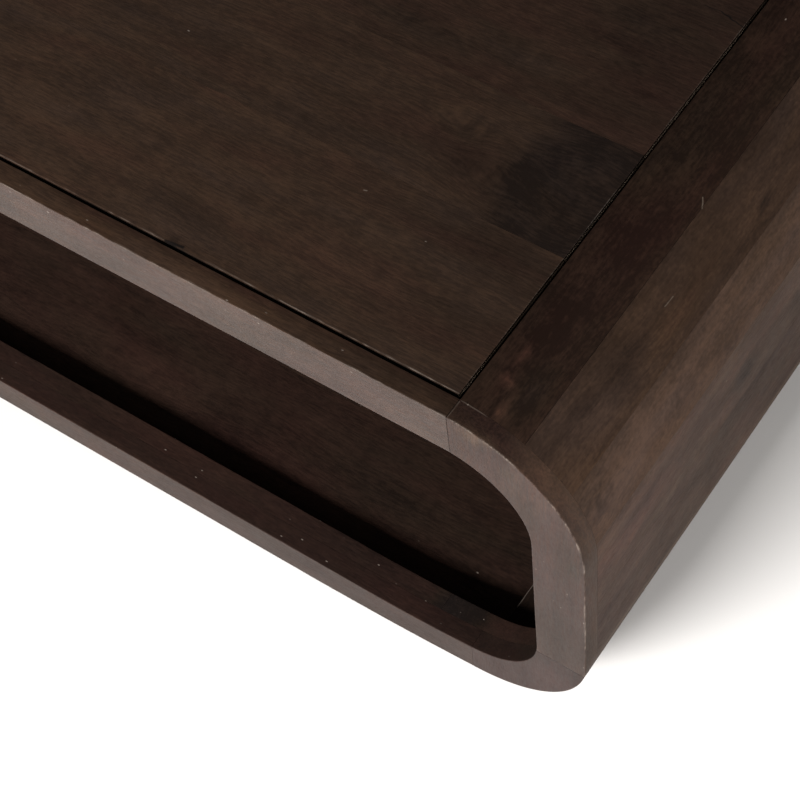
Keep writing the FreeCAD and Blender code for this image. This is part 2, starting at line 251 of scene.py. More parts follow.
@dataclass(frozen=True)
class Outline:
    """Right half of a ring's outline in the XZ plane, from the middle of its top round to that of its base.

    A station counts the stretches passed: 0 to 1 is the level top, 1 to 2 the upper corner, 2 to 3 the
    upright side, 3 to 4 the lower corner, 4 to 5 the gentle lift of the underside and 5 to 6 its level
    middle.
    """

    half_width: float
    top: float
    bottom: float
    radius: float
    lift_length: float
    lift_radius: float

    @property
    def corner_x(self) -> float:
        """Place along X of both corners' centres."""
        return self.half_width - self.radius

    @property
    def lift_angle(self) -> float:
        """Angle through which the underside has turned where it meets the lower corner."""
        return math.asin(self.lift_length / (self.lift_radius - self.radius))

    @property
    def upper_z(self) -> float:
        """Height of the upper corner's centre."""
        return self.top - self.radius

    @property
    def lower_z(self) -> float:
        """Height of the lower corner's centre."""
        reach = self.lift_radius - self.radius
        return self.bottom + self.lift_radius - reach * math.cos(self.lift_angle)

    def inset(self, distance: float) -> "Outline":
        """Gives the same outline shrunk evenly by a distance."""
        return Outline(self.half_width - distance, self.top - distance, self.bottom + distance,
                       self.radius - distance, self.lift_length, self.lift_radius - distance)

    def at(self, station: Array) -> Array:
        """Works out points of the outline.

        Each stretch adds its own straight run or its arc's chord, as far as the station has passed it: a run
        adds a length times the share passed, and an arc of radius R adds R times the change of the cosine
        and the sine of its angle.

        Args:
            station: stations from 0 to 6.

        Returns:
            Points (x, z), one row for each station.
        """
        passed = [np.clip(np.asarray(station, float) - stretch, 0.0, 1.0) for stretch in range(6)]
        quarter = passed[1] * math.pi / 2
        turn = passed[3] * (math.pi / 2 - self.lift_angle)
        lean = self.lift_angle * (1.0 - passed[4])
        x = self.corner_x * passed[0] + self.radius * (np.sin(quarter) + np.cos(turn) - 1.0)
        x = x + self.lift_radius * (np.sin(lean) - math.sin(self.lift_angle))
        x = x - (self.corner_x - self.lift_length) * passed[5]
        z = self.top + self.radius * (np.cos(quarter) - 1.0 - np.sin(turn))
        z = z + (self.lower_z - self.upper_z) * passed[2]
        z = z + self.lift_radius * (math.cos(self.lift_angle) - np.cos(lean))
        return np.stack([x, z], axis=-1)

    def station_of(self, axis: int, value: float, first: float, last: float) -> float:
        """Finds the station where the outline reaches a place.

        Args:
            axis: 0 for X or 1 for Z.
            value: the place, in millimetres.
            first: station where the search starts.
            last: station where it ends. Between the two, the outline runs one way along the axis.

        Returns:
            The station, read from a dense table of the outline's points.
        """
        stations = np.linspace(first, last, OUTLINE_POINTS)
        places = self.at(stations)[:, axis]
        if places[0] > places[-1]:
            stations, places = stations[::-1], places[::-1]
        return float(np.interp(value, places, stations))

    def top_z(self, x: Array) -> Array:
        """Gives the height of the upper edge at places along X, as far as the upper corner's end."""
        past = np.clip(np.abs(x) - self.corner_x, 0.0, None)
        return self.upper_z + np.sqrt(self.radius ** 2 - past ** 2)

    def base_z(self, x: Array) -> Array:
        """Gives the height of the underside at places along X, as far as the lift's end."""
        past = np.clip(np.abs(x) - (self.corner_x - self.lift_length), 0.0, None)
        return self.bottom + self.lift_radius - np.sqrt(self.lift_radius ** 2 - past ** 2)


@dataclass(frozen=True)
class Ribbon:
    """Two curves of the XZ plane that run side by side, along the outside and the inside of a piece."""

    outer: Array
    inner: Array
    marks: tuple[int, ...]

    @staticmethod
    def joined(stretches: list[tuple[Array, Array]]) -> "Ribbon":
        """Joins pairs of curves end to end, and marks the places where they meet.

        Args:
            stretches: pairs of an outer and an inner curve, with as many points each.

        Returns:
            One ribbon.
        """
        outer, inner = (np.concatenate(curves) for curves in zip(*stretches))
        ends = np.cumsum([len(pair[0]) for pair in stretches])
        return Ribbon(outer, inner, (0, *(int(end) - 1 for end in ends)))

    @staticmethod
    def between(outer: Outline, outer_stations: list[float], inner: Outline,
                inner_stations: list[float]) -> "Ribbon":
        """Follows two outlines from station to station.

        Args:
            outer: the outline along the outside.
            outer_stations: its stations where a stretch starts or ends.
            inner: the outline along the inside.
            inner_stations: its own stations for the same places.

        Returns:
            A ribbon with a mark at each of the stations.
        """
        share = np.linspace(0.0, 1.0, STRETCH_POINTS)
        curves = [[outline.at(start + (end - start) * share) for start, end in zip(stations, stations[1:])]
                  for outline, stations in ((outer, outer_stations), (inner, inner_stations))]
        return Ribbon.joined(list(zip(*curves)))

    def stations(self, spacing: float, easing: float) -> tuple[Array, Array]:
        """Picks evenly spaced places along the ribbon, with closer ones where its ends are eased.

        Args:
            spacing: distance between two places, in millimetres.
            easing: length of the eased part at each end, in millimetres.

        Returns:
            The places along the ribbon, and the ribbon's own length at each of its points.
        """
        middle = (self.outer + self.inner) / 2
        steps = np.linalg.norm(np.diff(middle, axis=0), axis=1)
        length = np.concatenate([[0.0], np.cumsum(steps)])
        stops = length[list(self.marks)]
        parts = [np.linspace(low, high, max(2, round((high - low) / spacing) + 1))
                 for low, high in zip(stops[:-1], stops[1:])]
        total = length[-1]
        even = np.unique(np.concatenate(parts))
        even = even[(even > FREE_ROWS * easing) & (even < total - FREE_ROWS * easing)]
        near_end = np.append(easing * (1.0 - np.cos(END_TURN)), NEXT_ROW * easing)
        return np.concatenate([near_end, even, total - near_end[::-1]]), length

    def sampled(self, spacing: float, easing: float) -> tuple[Array, Array, Array]:
        """Works out the ribbon's places and its curves there.

        Args:
            spacing: distance between two places, in millimetres.
            easing: length of the eased part at each end, in millimetres.

        Returns:
            The places along the ribbon, and the points of the outer and of the inner curve there.
        """
        places, length = self.stations(spacing, easing)
        curves = [np.stack([np.interp(places, length, curve[:, axis]) for axis in (0, 1)], axis=-1)
                  for curve in (self.outer, self.inner)]
        return places, curves[0], curves[1]


@dataclass(frozen=True)
class Figure:
    """A patch of wood with a look of its own, such as a knot, a heart streak or a pale flame.

    centre and reach are in millimetres. tone darkens or lightens, hue turns the brown to blue-grey or to
    red, eye spreads the grain lines round the centre as a knot does, and curl fills the patch with curled
    light and dark fibres. softness is how gradually the patch ends and wobble how far its edge wanders, both
    in reaches.
    """

    centre: Triple
    reach: Triple
    tone: float = 0.0
    hue: float = 0.0
    eye: float = 0.0
    softness: float = 0.14
    wobble: float = 0.22
    curl: float = 0.0

    def mask(self, points: Array) -> Array:
        """Tells how far each point lies inside the patch.

        The distance from the centre is measured in reaches and wobbles at random. An S curve of that
        distance, 1 / (1 + exp((d - 1) / softness)), gives 1 inside and 0 far outside.

        Args:
            points: points (x, y, z) in the last axis, in millimetres.

        Returns:
            Values from 0 to 1.
        """
        away = (points - np.array(self.centre)) / np.array(self.reach)
        distance = np.sqrt((away ** 2).sum(axis=-1))
        size = min(self.reach)
        seed = int(abs(self.centre[0]) * 7 + abs(self.centre[1]) * 13)
        ripple = wander_over(points[..., 0], points[..., 1] + points[..., 2], (size, 0.5 * size), seed)
        distance = distance * (1.0 + self.wobble * ripple)
        return 1.0 / (1.0 + np.exp(np.clip((distance - 1.0) / self.softness, -30.0, 30.0)))

    def pull(self, points: Array, across: int) -> Array:
        """Pushes the grain lines aside round the centre, by the eye times the distance times exp(-away^2).

        Args:
            points: points (x, y, z) in the last axis, in millimetres.
            across: the axis across the grain lines.

        Returns:
            How far each point moves along that axis, in millimetres.
        """
        away = (points - np.array(self.centre)) / np.array(self.reach)
        fade = np.exp(-(away ** 2).sum(axis=-1))
        return -self.eye * (points[..., across] - self.centre[across]) * fade


@dataclass(frozen=True)
class Knock:
    """A small dent or chip in an arris: its place, its length along it, its depth and its painted shadow."""

    centre: Triple
    length: float
    depth: float
    darkness: float = 0.0


@dataclass(frozen=True)
class Mark:
    """A fine line from one place to another, in millimetres: a scratch, nick or crack, or painted light or
    shade.
    """

    start: Triple
    end: Triple
    width: float
    colour: str
    strength: float = 0.6
    waver: float = 0.3


@dataclass(frozen=True)
class Section:
    """Unit section across a piece, a closed loop round four rounded arrises.

    Each point has its share of the way from the inside to the outside, its share of the way from the front
    to the back, the arris that it belongs to or -1, how many arris radii it lies inside the sharp corner
    both ways, the outward direction there, and how much of an arris it is.
    """

    width_share: Array
    depth_share: Array
    arris: Array
    radii: Array
    outward: Array
    edge: Array

    def facing(self) -> Array:
        """Tells how squarely each point faces outside, back, inside and front, as cosine to the 4th power."""
        both_ways = np.concatenate([self.outward, -self.outward], axis=1)
        return np.clip(both_ways, 0.0, None) ** 4

    @staticmethod
    def with_steps(width_steps: int, depth_steps: int, round_steps: int = 4) -> "Section":
        """Works out the loop, from the outer front arris over the outside to the back, and round again.

        From a sharp corner one face runs onward and the other one back, and each of these two ways is also
        the inward direction of the other face. Round an arris the distances from the corner along them are
        1 - cos and 1 - sin of the angle, in radii, and the outward direction turns by the same angle.

        Args:
            width_steps: parts into which the front and the back are divided, from the inside to the outside.
            depth_steps: parts into which the outside and the inside are divided, from the front to the back.
            round_steps: parts of each rounded arris.

        Returns:
            The section.
        """
        angle = np.linspace(0.0, math.pi / 2, round_steps + 1)
        away = np.concatenate([[FLAT_START], 1.0 - np.sin(angle), [0.0]])
        lean = np.concatenate([[1.0], np.cos(angle), [0.0]])
        edge = np.concatenate([[0.0], 0.5 + 0.5 * np.sin(2 * angle), [0.0]])
        corners = np.array([(1.0, 0.0), (1.0, 1.0), (0.0, 1.0), (0.0, 0.0)])
        rows = []
        for number, corner in enumerate(corners):
            onward, back = corners[(number + 1) % 4] - corner, corners[number - 1] - corner
            inside = np.outer(away, back) + np.outer(away[::-1], onward)
            out = -np.outer(lean, onward) - np.outer(lean[::-1], back)
            rows += [(*corner, number, *inside[point], *out[point], edge[point])
                     for point in range(len(away))]
            steps = (depth_steps, width_steps)[number % 2]
            rows += [(*(corner + onward * share), -1, 0.0, 0.0, *-back, 0.0)
                     for share in np.linspace(0.0, 1.0, steps + 1)[1:-1]]
        table = np.array(rows)
        return Section(table[:, 0], table[:, 1], table[:, 2].astype(int), table[:, 3:5], table[:, 5:7],
                       table[:, 7])


@dataclass
class Timber:
    """One piece of wood: the room between the two curves of a ribbon, carried through a range of depths.

    Values for the four arrises come in the order outer front, outer back, inner back and inner front, and
    those for the four faces in the order outside, back, inside and front. rub is how far an arris wears to
    pale wood, which also serves as a painted highlight along it, shade how far a face is darkened as painted
    shade where it lies in a gap or inside the opening, gloss and blush how much sheen and red it has, where
    the red on the front and inside faces is a painted tint for how the light falls on them, end_line how dark
    the ends are in their glue joints, and at the top panel's open end gaps painted shade over dark end grain,
    and end_rub how far their rounded arris wears pale, which also serves as a painted highlight. matt_start
    holds the share of sheen that the outside lacks at the start, how far that carries and over what length it
    fades. hand is how deep the waves of sanding go and joint_wave how far a cut wavers, in millimetres. A
    piece is worked out at the table's front right, and the signs of side and face carry it to its own place.
    """

    node: str
    ribbon: Ribbon
    front: float
    back: float
    side: Side = Side.RIGHT
    face: Face = Face.FRONT
    arris: Four = (0.2, 0.2, 0.2, 0.2)
    # Pale wear on each arris, which also serves as a painted highlight along it
    rub: Four = (0.0, 0.0, 0.0, 0.0)
    # Painted shade on faces that lie in a gap or inside the opening
    shade: Four = (0.0, 0.0, 0.0, 0.0)
    gloss: Four = (0.0, 0.0, 0.0, 0.0)
    matt_start: Triple = (0.0, 1.0, 1.0)
    # Painted tint: extra red on faces, for how the light falls on them
    blush: Four = (0.0, 0.0, 0.0, 0.0)
    roughness_of_arris: float = 0.3
    end_easing: float = 0.2
    end_line: tuple[float, float] = (0.3, 0.3)
    # Pale wear on the ends' rounded arrises, which also serves as a painted highlight
    end_rub: tuple[float, float] = (0.0, 0.0)
    joint_wave: float = 0.0
    hand: float = 0.1
    spacing: float = 5.0
    width_spacing: float = 9.0
    depth_spacing: float = 9.0
    tone: float = 0.0
    hue: float = 0.0
    grain: Grain = Grain.LENGTH
    figures: tuple[Figure, ...] = ()
    knocks: tuple[Knock, ...] = ()
    seed: int = 1

    def place(self, flat: Array, depth: Array) -> Array:
        """Turns (x, z) points and depths into places on this piece's side and face of the table."""
        return np.stack([flat[..., 0] * self.side.value, depth * self.face.value, flat[..., 1]], axis=-1)

    def arris_radii(self, along: Array, outer: Array, inner: Array) -> Array:
        """Works out the radius of each arris along the piece.

        Sanding by hand leaves a radius that wanders by a share of itself, in long and short waves, and a
        knock adds its depth times exp(-(distance / length)^2).

        Args:
            along: places along the ribbon.
            outer: points of the outer curve there.
            inner: points of the inner curve there.

        Returns:
            Radii in millimetres, one row for each of the four arrises.
        """
        rows = []
        for number, radius in enumerate(self.arris):
            waves = wander(along, ARRIS_WAVES, self.seed * 11 + number)
            row = radius * (1.0 + self.roughness_of_arris * waves)
            curve = outer if number < 2 else inner
            depth = self.front if number in (0, 3) else self.back
            corner = self.place(curve, np.full(len(curve), depth))
            for knock in self.knocks:
                distance = np.linalg.norm(corner - np.array(knock.centre), axis=-1)
                row = row + knock.depth * np.exp(-(distance / knock.length) ** 2)
            rows.append(row)
        return np.array(rows)

    def wave_at_joints(self, along: Array, flat: Array, mean: Array) -> Array:
        """Shifts the ends along the piece, so that a cut wavers as a sawn and planed joint does.

        The shift depends on the place across the cut alone, so that both pieces at a joint waver alike, and
        it fades as exp(-(distance from the end / JOINT_FADE)^2).

        Args:
            along: places along the ribbon.
            flat: points (x, z) of the whole grid.
            mean: the ribbon's middle curve.

        Returns:
            Shifts (x, z) for the whole grid.
        """
        way = np.gradient(mean, along, axis=0)
        way = way / np.linalg.norm(way, axis=1, keepdims=True)
        strongest = np.take_along_axis(way, np.abs(way).argmax(axis=1)[:, None], axis=1)
        way = way * np.sign(strongest)
        fade = sum(np.exp(-(away / JOINT_FADE) ** 2) for away in (along, along[-1] - along))
        size = wander(flat[..., 0] + flat[..., 1], JOINT_WAVES) * fade[:, None]
        return self.joint_wave * size[..., None] * way[:, None, :]

    def grid(self) -> tuple[Array, Array, Array, Array]:
        """Works out the piece's surface on a grid, stations along it by points round its section.

        A point lies at its share of the way between the ribbon's curves and between the two depths, moved
        along both by its radii, and then inwards by the waves of hand sanding. Near an end it also sinks by
        the easing times 1 - sin of the end's angle, which rounds the end.

        Returns:
            Points (x, y, z), and on each point the rub, which holds wear with its painted highlight and
            painted shade, the gloss, and the blush, whose red is a painted tint.
        """
        along, outer, inner = self.ribbon.sampled(self.spacing, self.end_easing)
        width = float(np.linalg.norm(outer - inner, axis=1).mean())
        section = Section.with_steps(max(2, round(width / self.width_spacing)),
                                     max(2, round((self.back - self.front) / self.depth_spacing)))
        across = outer - inner
        unit = across / np.linalg.norm(across, axis=1, keepdims=True)
        radii = self.arris_radii(along, outer, inner)
        radius = np.where(section.arris[None, :] >= 0, radii[section.arris].T, 0.0)
        depth = self.front + (self.back - self.front) * section.depth_share
        around = section.depth_share * ROUND_SECTION[0] + section.width_share * ROUND_SECTION[1]
        waves = wander_over(along[:, None], around, SANDING_WAVES, self.seed + 3)
        sunk = self.hand * (0.5 + 0.5 * waves)
        rounding = self.end_easing * (1.0 - np.sin(END_TURN))[:, None]
        sunk[:len(END_TURN)] += rounding
        sunk[-len(END_TURN):] += rounding[::-1]
        shift_out = radius * section.radii[:, 0] - sunk * section.outward[:, 0]
        shift_back = radius * section.radii[:, 1] - sunk * section.outward[:, 1]
        flat = inner[:, None] + across[:, None] * section.width_share[None, :, None]
        flat = flat + unit[:, None] * shift_out[..., None]
        if self.joint_wave:
            flat = flat + self.wave_at_joints(along, flat, (outer + inner) / 2)
        points = self.place(flat, depth[None, :] + shift_back)
        rub = self.rub_on(along, section)
        # A knock is darkened by the painted shadow in its chip
        for knock in self.knocks:
            distance = np.linalg.norm(points - np.array(knock.centre), axis=-1)
            rub = rub - knock.darkness * np.exp(-(distance / knock.length) ** 4)
        gloss, blush = (np.ones((len(along), 1)) * (section.facing() @ np.array(shares))
                        for shares in (self.gloss, self.blush))
        lacking, carried, fade = self.matt_start
        matt = lacking * np.clip((carried - along) / fade, 0.0, 1.0)
        return points, rub, gloss * (1.0 - matt[:, None] * section.facing()[:, 0]), blush

    def rub_on(self, along: Array, section: Section) -> Array:
        """Works out where an arris wears pale, as wear and as a painted highlight, above 0, and where painted
        shade and dark joints darken the wood, below 0.

        Args:
            along: places along the ribbon.
            section: the section with its arrises.

        Returns:
            Values for the whole grid.
        """
        strength = np.append(np.array(self.rub), 0.0)[section.arris]
        patchy = np.clip(RUB_SHARE + wander(along, RUB_WAVES, self.seed), 0.0, 1.0)[:, None]
        rub = section.edge * strength * np.where(strength > 0.0, patchy, 1.0)
        facing = section.facing()
        # Painted shade: faces in a gap or inside the opening are darkened
        rub = rub - facing @ np.array(self.shade)
        across = section.depth_share * (self.back - self.front)
        nicked = np.clip(RUB_SHARE + wander(across, NICK_WAVES, self.seed), 0.0, 1.0)
        nicked = nicked * (facing[:, 0] + facing[:, 2])
        for end, face_row, middle_rows in ((0, 0, (1, 2)), (1, -1, (-2, -3))):
            line = self.end_line[end] * (1.0 - self.end_rub[end] * facing[:, 0])
            rub[face_row] -= line
            for row in middle_rows:
                rub[row] += self.end_rub[end] * nicked - LINE_SPREAD * line
        return rub

    def piece(self, material: Material, slot: str) -> None:
        """Makes the piece, dresses it and lets it stand for its CAD node.

        Args:
            material: the wood's material.
            slot: not used.
        """
        points, rub, gloss, blush = self.grid()
        size = points.shape[:2]
        tone, hue, flow, curl = np.full(size, self.tone), self.hue + blush, np.zeros(size), np.zeros(size)
        across_grain = 0 if self.grain is Grain.DEPTH else 1
        for figure in self.figures:
            mask = figure.mask(points)
            tone += figure.tone * mask
            hue += figure.hue * mask
            curl += figure.curl * mask
            flow += figure.pull(points, across_grain)
        facts = {"tone": tone, "hue": hue, "flow": flow, "curl": curl, "rub": rub, "gloss": gloss,
                 "shift": np.full(size, float(self.seed % TREE_PLACES))}
        made = tube_mesh(self.node + "_wood", points, facts)
        made.data.materials.append(material)
        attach(made, BODY)
        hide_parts(self.node)
        log.info("%s: %d points", made.name, points.shape[0] * points.shape[1])


def tube_mesh(name: str, points: Array, facts: dict[str, Array]) -> bpy.types.Object:
    """Puts a grid of points into a closed mesh: each row is a loop, and the first and last loop are capped.

    Four neighbours of the grid make a face. The volume inside, a sixth of the sum of p . (q x r) over the
    corners of all faces, tells which way the faces turn, and they are turned over if it is negative.

    Args:
        name: the object's name.
        points: points (x, y, z) in millimetres, rows along the tube and columns round it.
        facts: named values for each point.

    Returns:
        An object at the origin, with its place in its mesh.
    """
    rows, columns = points.shape[:2]
    number = np.arange(rows * columns).reshape(rows, columns)
    around = np.roll(number, -1, axis=1)
    quads = np.stack([number[:-1], around[:-1], around[1:], number[1:]], axis=-1).reshape(-1, 4)
    corners = points.reshape(-1, 3)
    volume = 0.0
    for second, third in ((1, 2), (2, 3)):
        sides = np.cross(corners[quads[:, second]], corners[quads[:, third]])
        volume += float((corners[quads[:, 0]] * sides).sum())
    caps = [number[0][::-1], number[-1]]
    for cap in caps:
        middle = corners[cap].mean(axis=0)
        sides = np.cross(corners[cap] - middle, corners[np.roll(cap, -1)] - middle)
        volume += float((middle * sides).sum())
    if volume < 0.0:
        quads = quads[:, ::-1]
        caps = [cap[::-1] for cap in caps]
    mesh = bpy.data.meshes.new(name)
    mesh.vertices.add(rows * columns)
    mesh.vertices.foreach_set("co", (corners * MM).astype(np.float32).ravel())
    loops = np.concatenate([quads.ravel(), caps[0], caps[1]]).astype(np.int32)
    mesh.loops.add(len(loops))
    mesh.loops.foreach_set("vertex_index", loops)
    starts = np.concatenate([np.arange(len(quads)) * 4, [len(quads) * 4, len(quads) * 4 + columns]])
    mesh.polygons.add(len(starts))
    mesh.polygons.foreach_set("loop_start", starts.astype(np.int32))
    mesh.update(calc_edges=True)
    mesh.validate()
    mesh.shade_smooth()
    mesh.set_sharp_from_angle(angle=math.radians(SHARP_TURN))
    for fact, values in facts.items():
        attribute = mesh.attributes.new(fact, "FLOAT", "POINT")
        attribute.data.foreach_set("value", values.astype(np.float32).ravel())
    made = bpy.data.objects.new(name, mesh)
    bpy.context.scene.collection.objects.link(made)
    return made


@dataclass(frozen=True)
class Streaks:
    """One layer of grain: streaks of a real length and width in millimetres.

    low and high are the noise values that become 0 and 1, detail is the number of finer octaves, and weight
    is how strongly the layer lightens or darkens the wood.
    """

    length: float
    width: float
    low: float
    high: float
    detail: float
    weight: float


@dataclass(frozen=True)
class StainedMango:
    """Mango wood, planed and hand sanded, stained walnut brown and sprayed with a satin lacquer.

    The eye sees a dark warm brown that drifts to olive, red and blue-grey, soft short streaks along the
    fibres, fine open pores, a few pale specks of filler, and tan wood where an arris wears through, which
    also serves as a painted highlight along the arrises. Faces in gaps and inside the opening are darkened
    towards the pore colour as painted shade, and chips as painted shadow. Faces that look to the front keep
    the lacquer's sheen, and the end walls are cut back nearly matt.

    Lengths are in millimetres. Pieces of neighbouring seeds are cut piece_steps apart in the tree, and
    neighbouring layers of grain start layer_steps apart, in cells of their noise. The grain lines drift by
    up to meander over a meander_length. relief is how deep the grain is, and bare_fall how fast bare wood's
    roughness falls as the gloss rises.
    """

    name: str
    grain: Grain
    light: str = "#3a2a1f"
    middle: str = "#281d16"
    dark: str = "#17100c"
    red: str = "#2c1b16"
    grey: str = "#251d1a"
    # Colour of the pores, also used for the painted shade in gaps and inside the opening and the painted
    # shadow in chips
    pore: str = "#0b0908"
    # Pale wood where an arris wears through, which also serves as a painted highlight along the arrises
    worn: str = "#6c635b"
    speck: str = "#685e56"
    satin_roughness: float = 0.42
    matt_roughness: float = 0.62
    bare_roughness: float = 0.85
    satin_specular: float = 0.3
    matt_specular: float = 0.01
    ior: float = 1.5
    bump: float = 0.3
    bands: Streaks = Streaks(110.0, 8.0, 0.34, 0.66, 3.0, 0.12)
    fibres: Streaks = Streaks(12.0, 1.7, 0.36, 0.64, 2.0, 0.24)
    clouds: Streaks = Streaks(90.0, 26.0, 0.32, 0.68, 2.0, 0.17)
    figure: Streaks = Streaks(13.0, 26.0, 0.36, 0.64, 3.0, 0.08)
    # Real pores are about 0.2 mm wide. They are drawn wider, so that the photo's scale shows them.
    pores: Streaks = Streaks(10.0, 1.3, 0.58, 0.70, 1.0, 0.08)
    tinge: Streaks = Streaks(110.0, 34.0, 0.30, 0.70, 2.0, 0.3)
    mottle: Streaks = Streaks(3.4, 2.4, 0.30, 0.70, 1.0, 0.08)
    meander_length: float = 260.0
    meander: float = 18.0
    piece_steps: Triple = (531.0, 173.0, 97.0)
    layer_steps: Triple = (17.3, 5.1, 9.7)
    relief: float = 0.25
    bare_fall: float = 1.4
    sheen_mottle: float = 0.3
    curl_size: float = 26.0
    curl_twist: float = 1.6
    speck_spacing: float = 24.0
    speck_size: float = 0.6
    marks: tuple[Mark, ...] = ()

    def material(self) -> Material:
        """Builds the material.

        Returns:
            The material, which reads Object coordinates and the attributes tone, hue, flow, curl, rub,
            gloss and shift.
        """
        material, tree = blank_material(self.name)
        facts = {name: add(tree, "Attribute", out="Fac", attribute_name=name)
                 for name in ("tone", "hue", "flow", "curl", "rub", "gloss", "shift")}
        seen = add(tree, "TexCoord", out="Object")
        place = self.wood_place(tree, facts, seen)
        names = ("bands", "fibres", "clouds", "figure", "pores", "tinge", "mottle")
        layers = {name: self.layer(tree, place, getattr(self, name), seed) for seed, name in enumerate(names)}
        brown = self.stain(tree, facts, layers, place)
        for mark in self.marks:
            brown = self.marked(tree, seen, brown, mark)
        rough, sheen = self.lacquer(tree, facts, layers)
        height = 0.0
        for name, weight in (("fibres", 0.5), ("pores", -0.5)):
            height = add(tree, "Math", {0: layers[name], 1: weight, 2: height}, operation="MULTIPLY_ADD")
        bump = add(tree, "Bump", {"Strength": self.bump, "Distance": self.relief * MM, "Height": height})
        shader = add(tree, "BsdfPrincipled", {"Base Color": brown, "Roughness": rough, "IOR": self.ior,
                                              "Specular IOR Level": sheen, "Normal": bump})
        add(tree, "OutputMaterial", {"Surface": shader})
        return material

    def wood_place(self, tree: Tree, facts: dict[str, Socket], seen: Socket) -> Socket:
        """Gives the place inside the tree that the piece was cut from, in millimetres, fibres along X.

        The piece's shift moves it to a part of the tree of its own, its flow pushes the grain lines aside
        near a knot, and slow noise lets them meander.

        Args:
            tree: the material's tree.
            facts: the attributes' sockets.
            seen: Object coordinates, in metres.

        Returns:
            The socket with the place.
        """
        turned = add(tree, "Mapping", {
            "Vector": seen, "Scale": (1 / MM,) * 3,
            "Rotation": tuple(math.radians(turn) for turn in self.grain.value)})
        moved = add(tree, "VectorMath", {0: facts["shift"], 1: self.piece_steps, 2: turned},
                    operation="MULTIPLY_ADD")
        along, across = 1 / self.meander_length, 3 / self.meander_length
        slow = add(tree, "VectorMath", {0: moved, 1: (along, across, across)}, operation="MULTIPLY")
        drift = add(tree, "TexNoise", {"Vector": slow, "Scale": 1.0, "Detail": 1.0}, "Color")
        moved = add(tree, "VectorMath", {0: drift, 1: (0.0, self.meander, self.meander), 2: moved},
                    operation="MULTIPLY_ADD")
        aside = add(tree, "CombineXYZ", {"Y": facts["flow"]})
        return add(tree, "VectorMath", {0: moved, 1: aside}, operation="ADD")

    def layer(self, tree: Tree, place: Socket, streaks: Streaks, seed: int) -> Socket:
        """Builds one layer of grain.

        Args:
            tree: the material's tree.
            place: the place in the wood, in millimetres.
            streaks: the layer's sizes.
            seed: moves the layer, so that no two look alike.

        Returns:
            The socket with the layer's value, 0 to 1.
        """
        scaled = add(tree, "VectorMath", {
            0: place, 1: (1 / streaks.length, 1 / streaks.width, 1 / streaks.width),
            2: tuple(step * seed for step in self.layer_steps)}, operation="MULTIPLY_ADD")
        noise = add(tree, "TexNoise", {"Vector": scaled, "Scale": 1.0, "Detail": streaks.detail,
                                       "Roughness": 0.55}, "Fac")
        return add(tree, "MapRange", {"Value": noise, "From Min": streaks.low, "From Max": streaks.high})

    def stain(self, tree: Tree, facts: dict[str, Socket], layers: dict[str, Socket],
              place: Socket) -> Socket:
        """Mixes the colour of the stained wood.

        The layers, each about its own middle, and the tone add up to a depth of stain that a ramp turns
        into brown. The hue, which on the front and inside faces carries a painted tint for the light there,
        multiplies it by red or grey over the middle brown. Pores, dark joints, painted shade on faces in gaps
        and inside the opening and painted shadow in chips then darken it, and specks and arrises that wear
        pale, which also serves as a painted highlight, lighten it.

        Args:
            tree: the material's tree.
            facts: the attributes' sockets.
            layers: the grain layers' sockets.
            place: the place in the wood, in millimetres.

        Returns:
            The socket with the colour.
        """
        weights = {name: getattr(self, name).weight
                   for name in ("bands", "fibres", "clouds", "figure", "mottle")}
        depth = add(tree, "Math", {0: facts["tone"], 1: 0.5, 2: 0.5 - sum(weights.values()) / 2},
                    operation="MULTIPLY_ADD")
        for name, weight in weights.items():
            depth = add(tree, "Math", {0: layers[name], 1: weight, 2: depth}, operation="MULTIPLY_ADD")
        curls = add(tree, "TexNoise", {"Vector": place, "Scale": 1 / self.curl_size, "Detail": 3.0,
                                       "Distortion": self.curl_twist}, "Fac")
        curls = add(tree, "MapRange", {"Value": curls, "From Min": 0.35, "From Max": 0.7, "To Min": -0.5,
                                       "To Max": 0.5})
        depth = add(tree, "Math", {0: curls, 1: facts["curl"], 2: depth}, operation="MULTIPLY_ADD")
        colour = add(tree, "ValToRGB", {"Fac": depth}, "Color")
        stops = colour.node.color_ramp.elements
        stops[0].color, stops[1].color = linear(self.dark), linear(self.light)
        stops.new(0.5).color = linear(self.middle)

        tinge = add(tree, "MapRange", {"Value": layers["tinge"], "To Min": -self.tinge.weight,
                                       "To Max": self.tinge.weight})
        tinge = add(tree, "Math", {0: tinge, 1: facts["hue"]}, operation="ADD")
        # Below 0 the attribute holds dark joints, painted shade and painted shadow in chips, mixed towards
        # the pore colour
        less, painted_shade_and_dark_joints = (add(tree, "Math", {0: value, 1: -1.0}, operation="MULTIPLY")
                           for value in (tinge, facts["rub"]))
        pore = add(tree, "Math", {0: layers["pores"], 1: self.pores.weight}, operation="MULTIPLY")
        patchy = add(tree, "MapRange", {"Value": layers["fibres"], "To Min": 0.15, "To Max": 1.2})
        # Arrises that wear pale, which also serves as a painted highlight
        wear_and_highlight_share = add(tree, "Math", {0: facts["rub"], 1: patchy}, operation="MULTIPLY")
        middle = linear(self.middle)
        red, grey = (tuple(a / b for a, b in zip(linear(tint), middle)) for tint in (self.red, self.grey))
        for share, tint, blend in (
                (tinge, red, "MULTIPLY"), (less, grey, "MULTIPLY"), (pore, linear(self.pore), "MIX"),
                (painted_shade_and_dark_joints, linear(self.pore), "MIX"), (self.speckle(tree, place), linear(self.speck), "MIX"),
                (wear_and_highlight_share, linear(self.worn), "MIX")):
            colour = add(tree, "Mix", {"Factor": share, 6: colour, 7: tint}, 2, data_type="RGBA",
                         blend_type=blend, clamp_factor=True)
        return colour

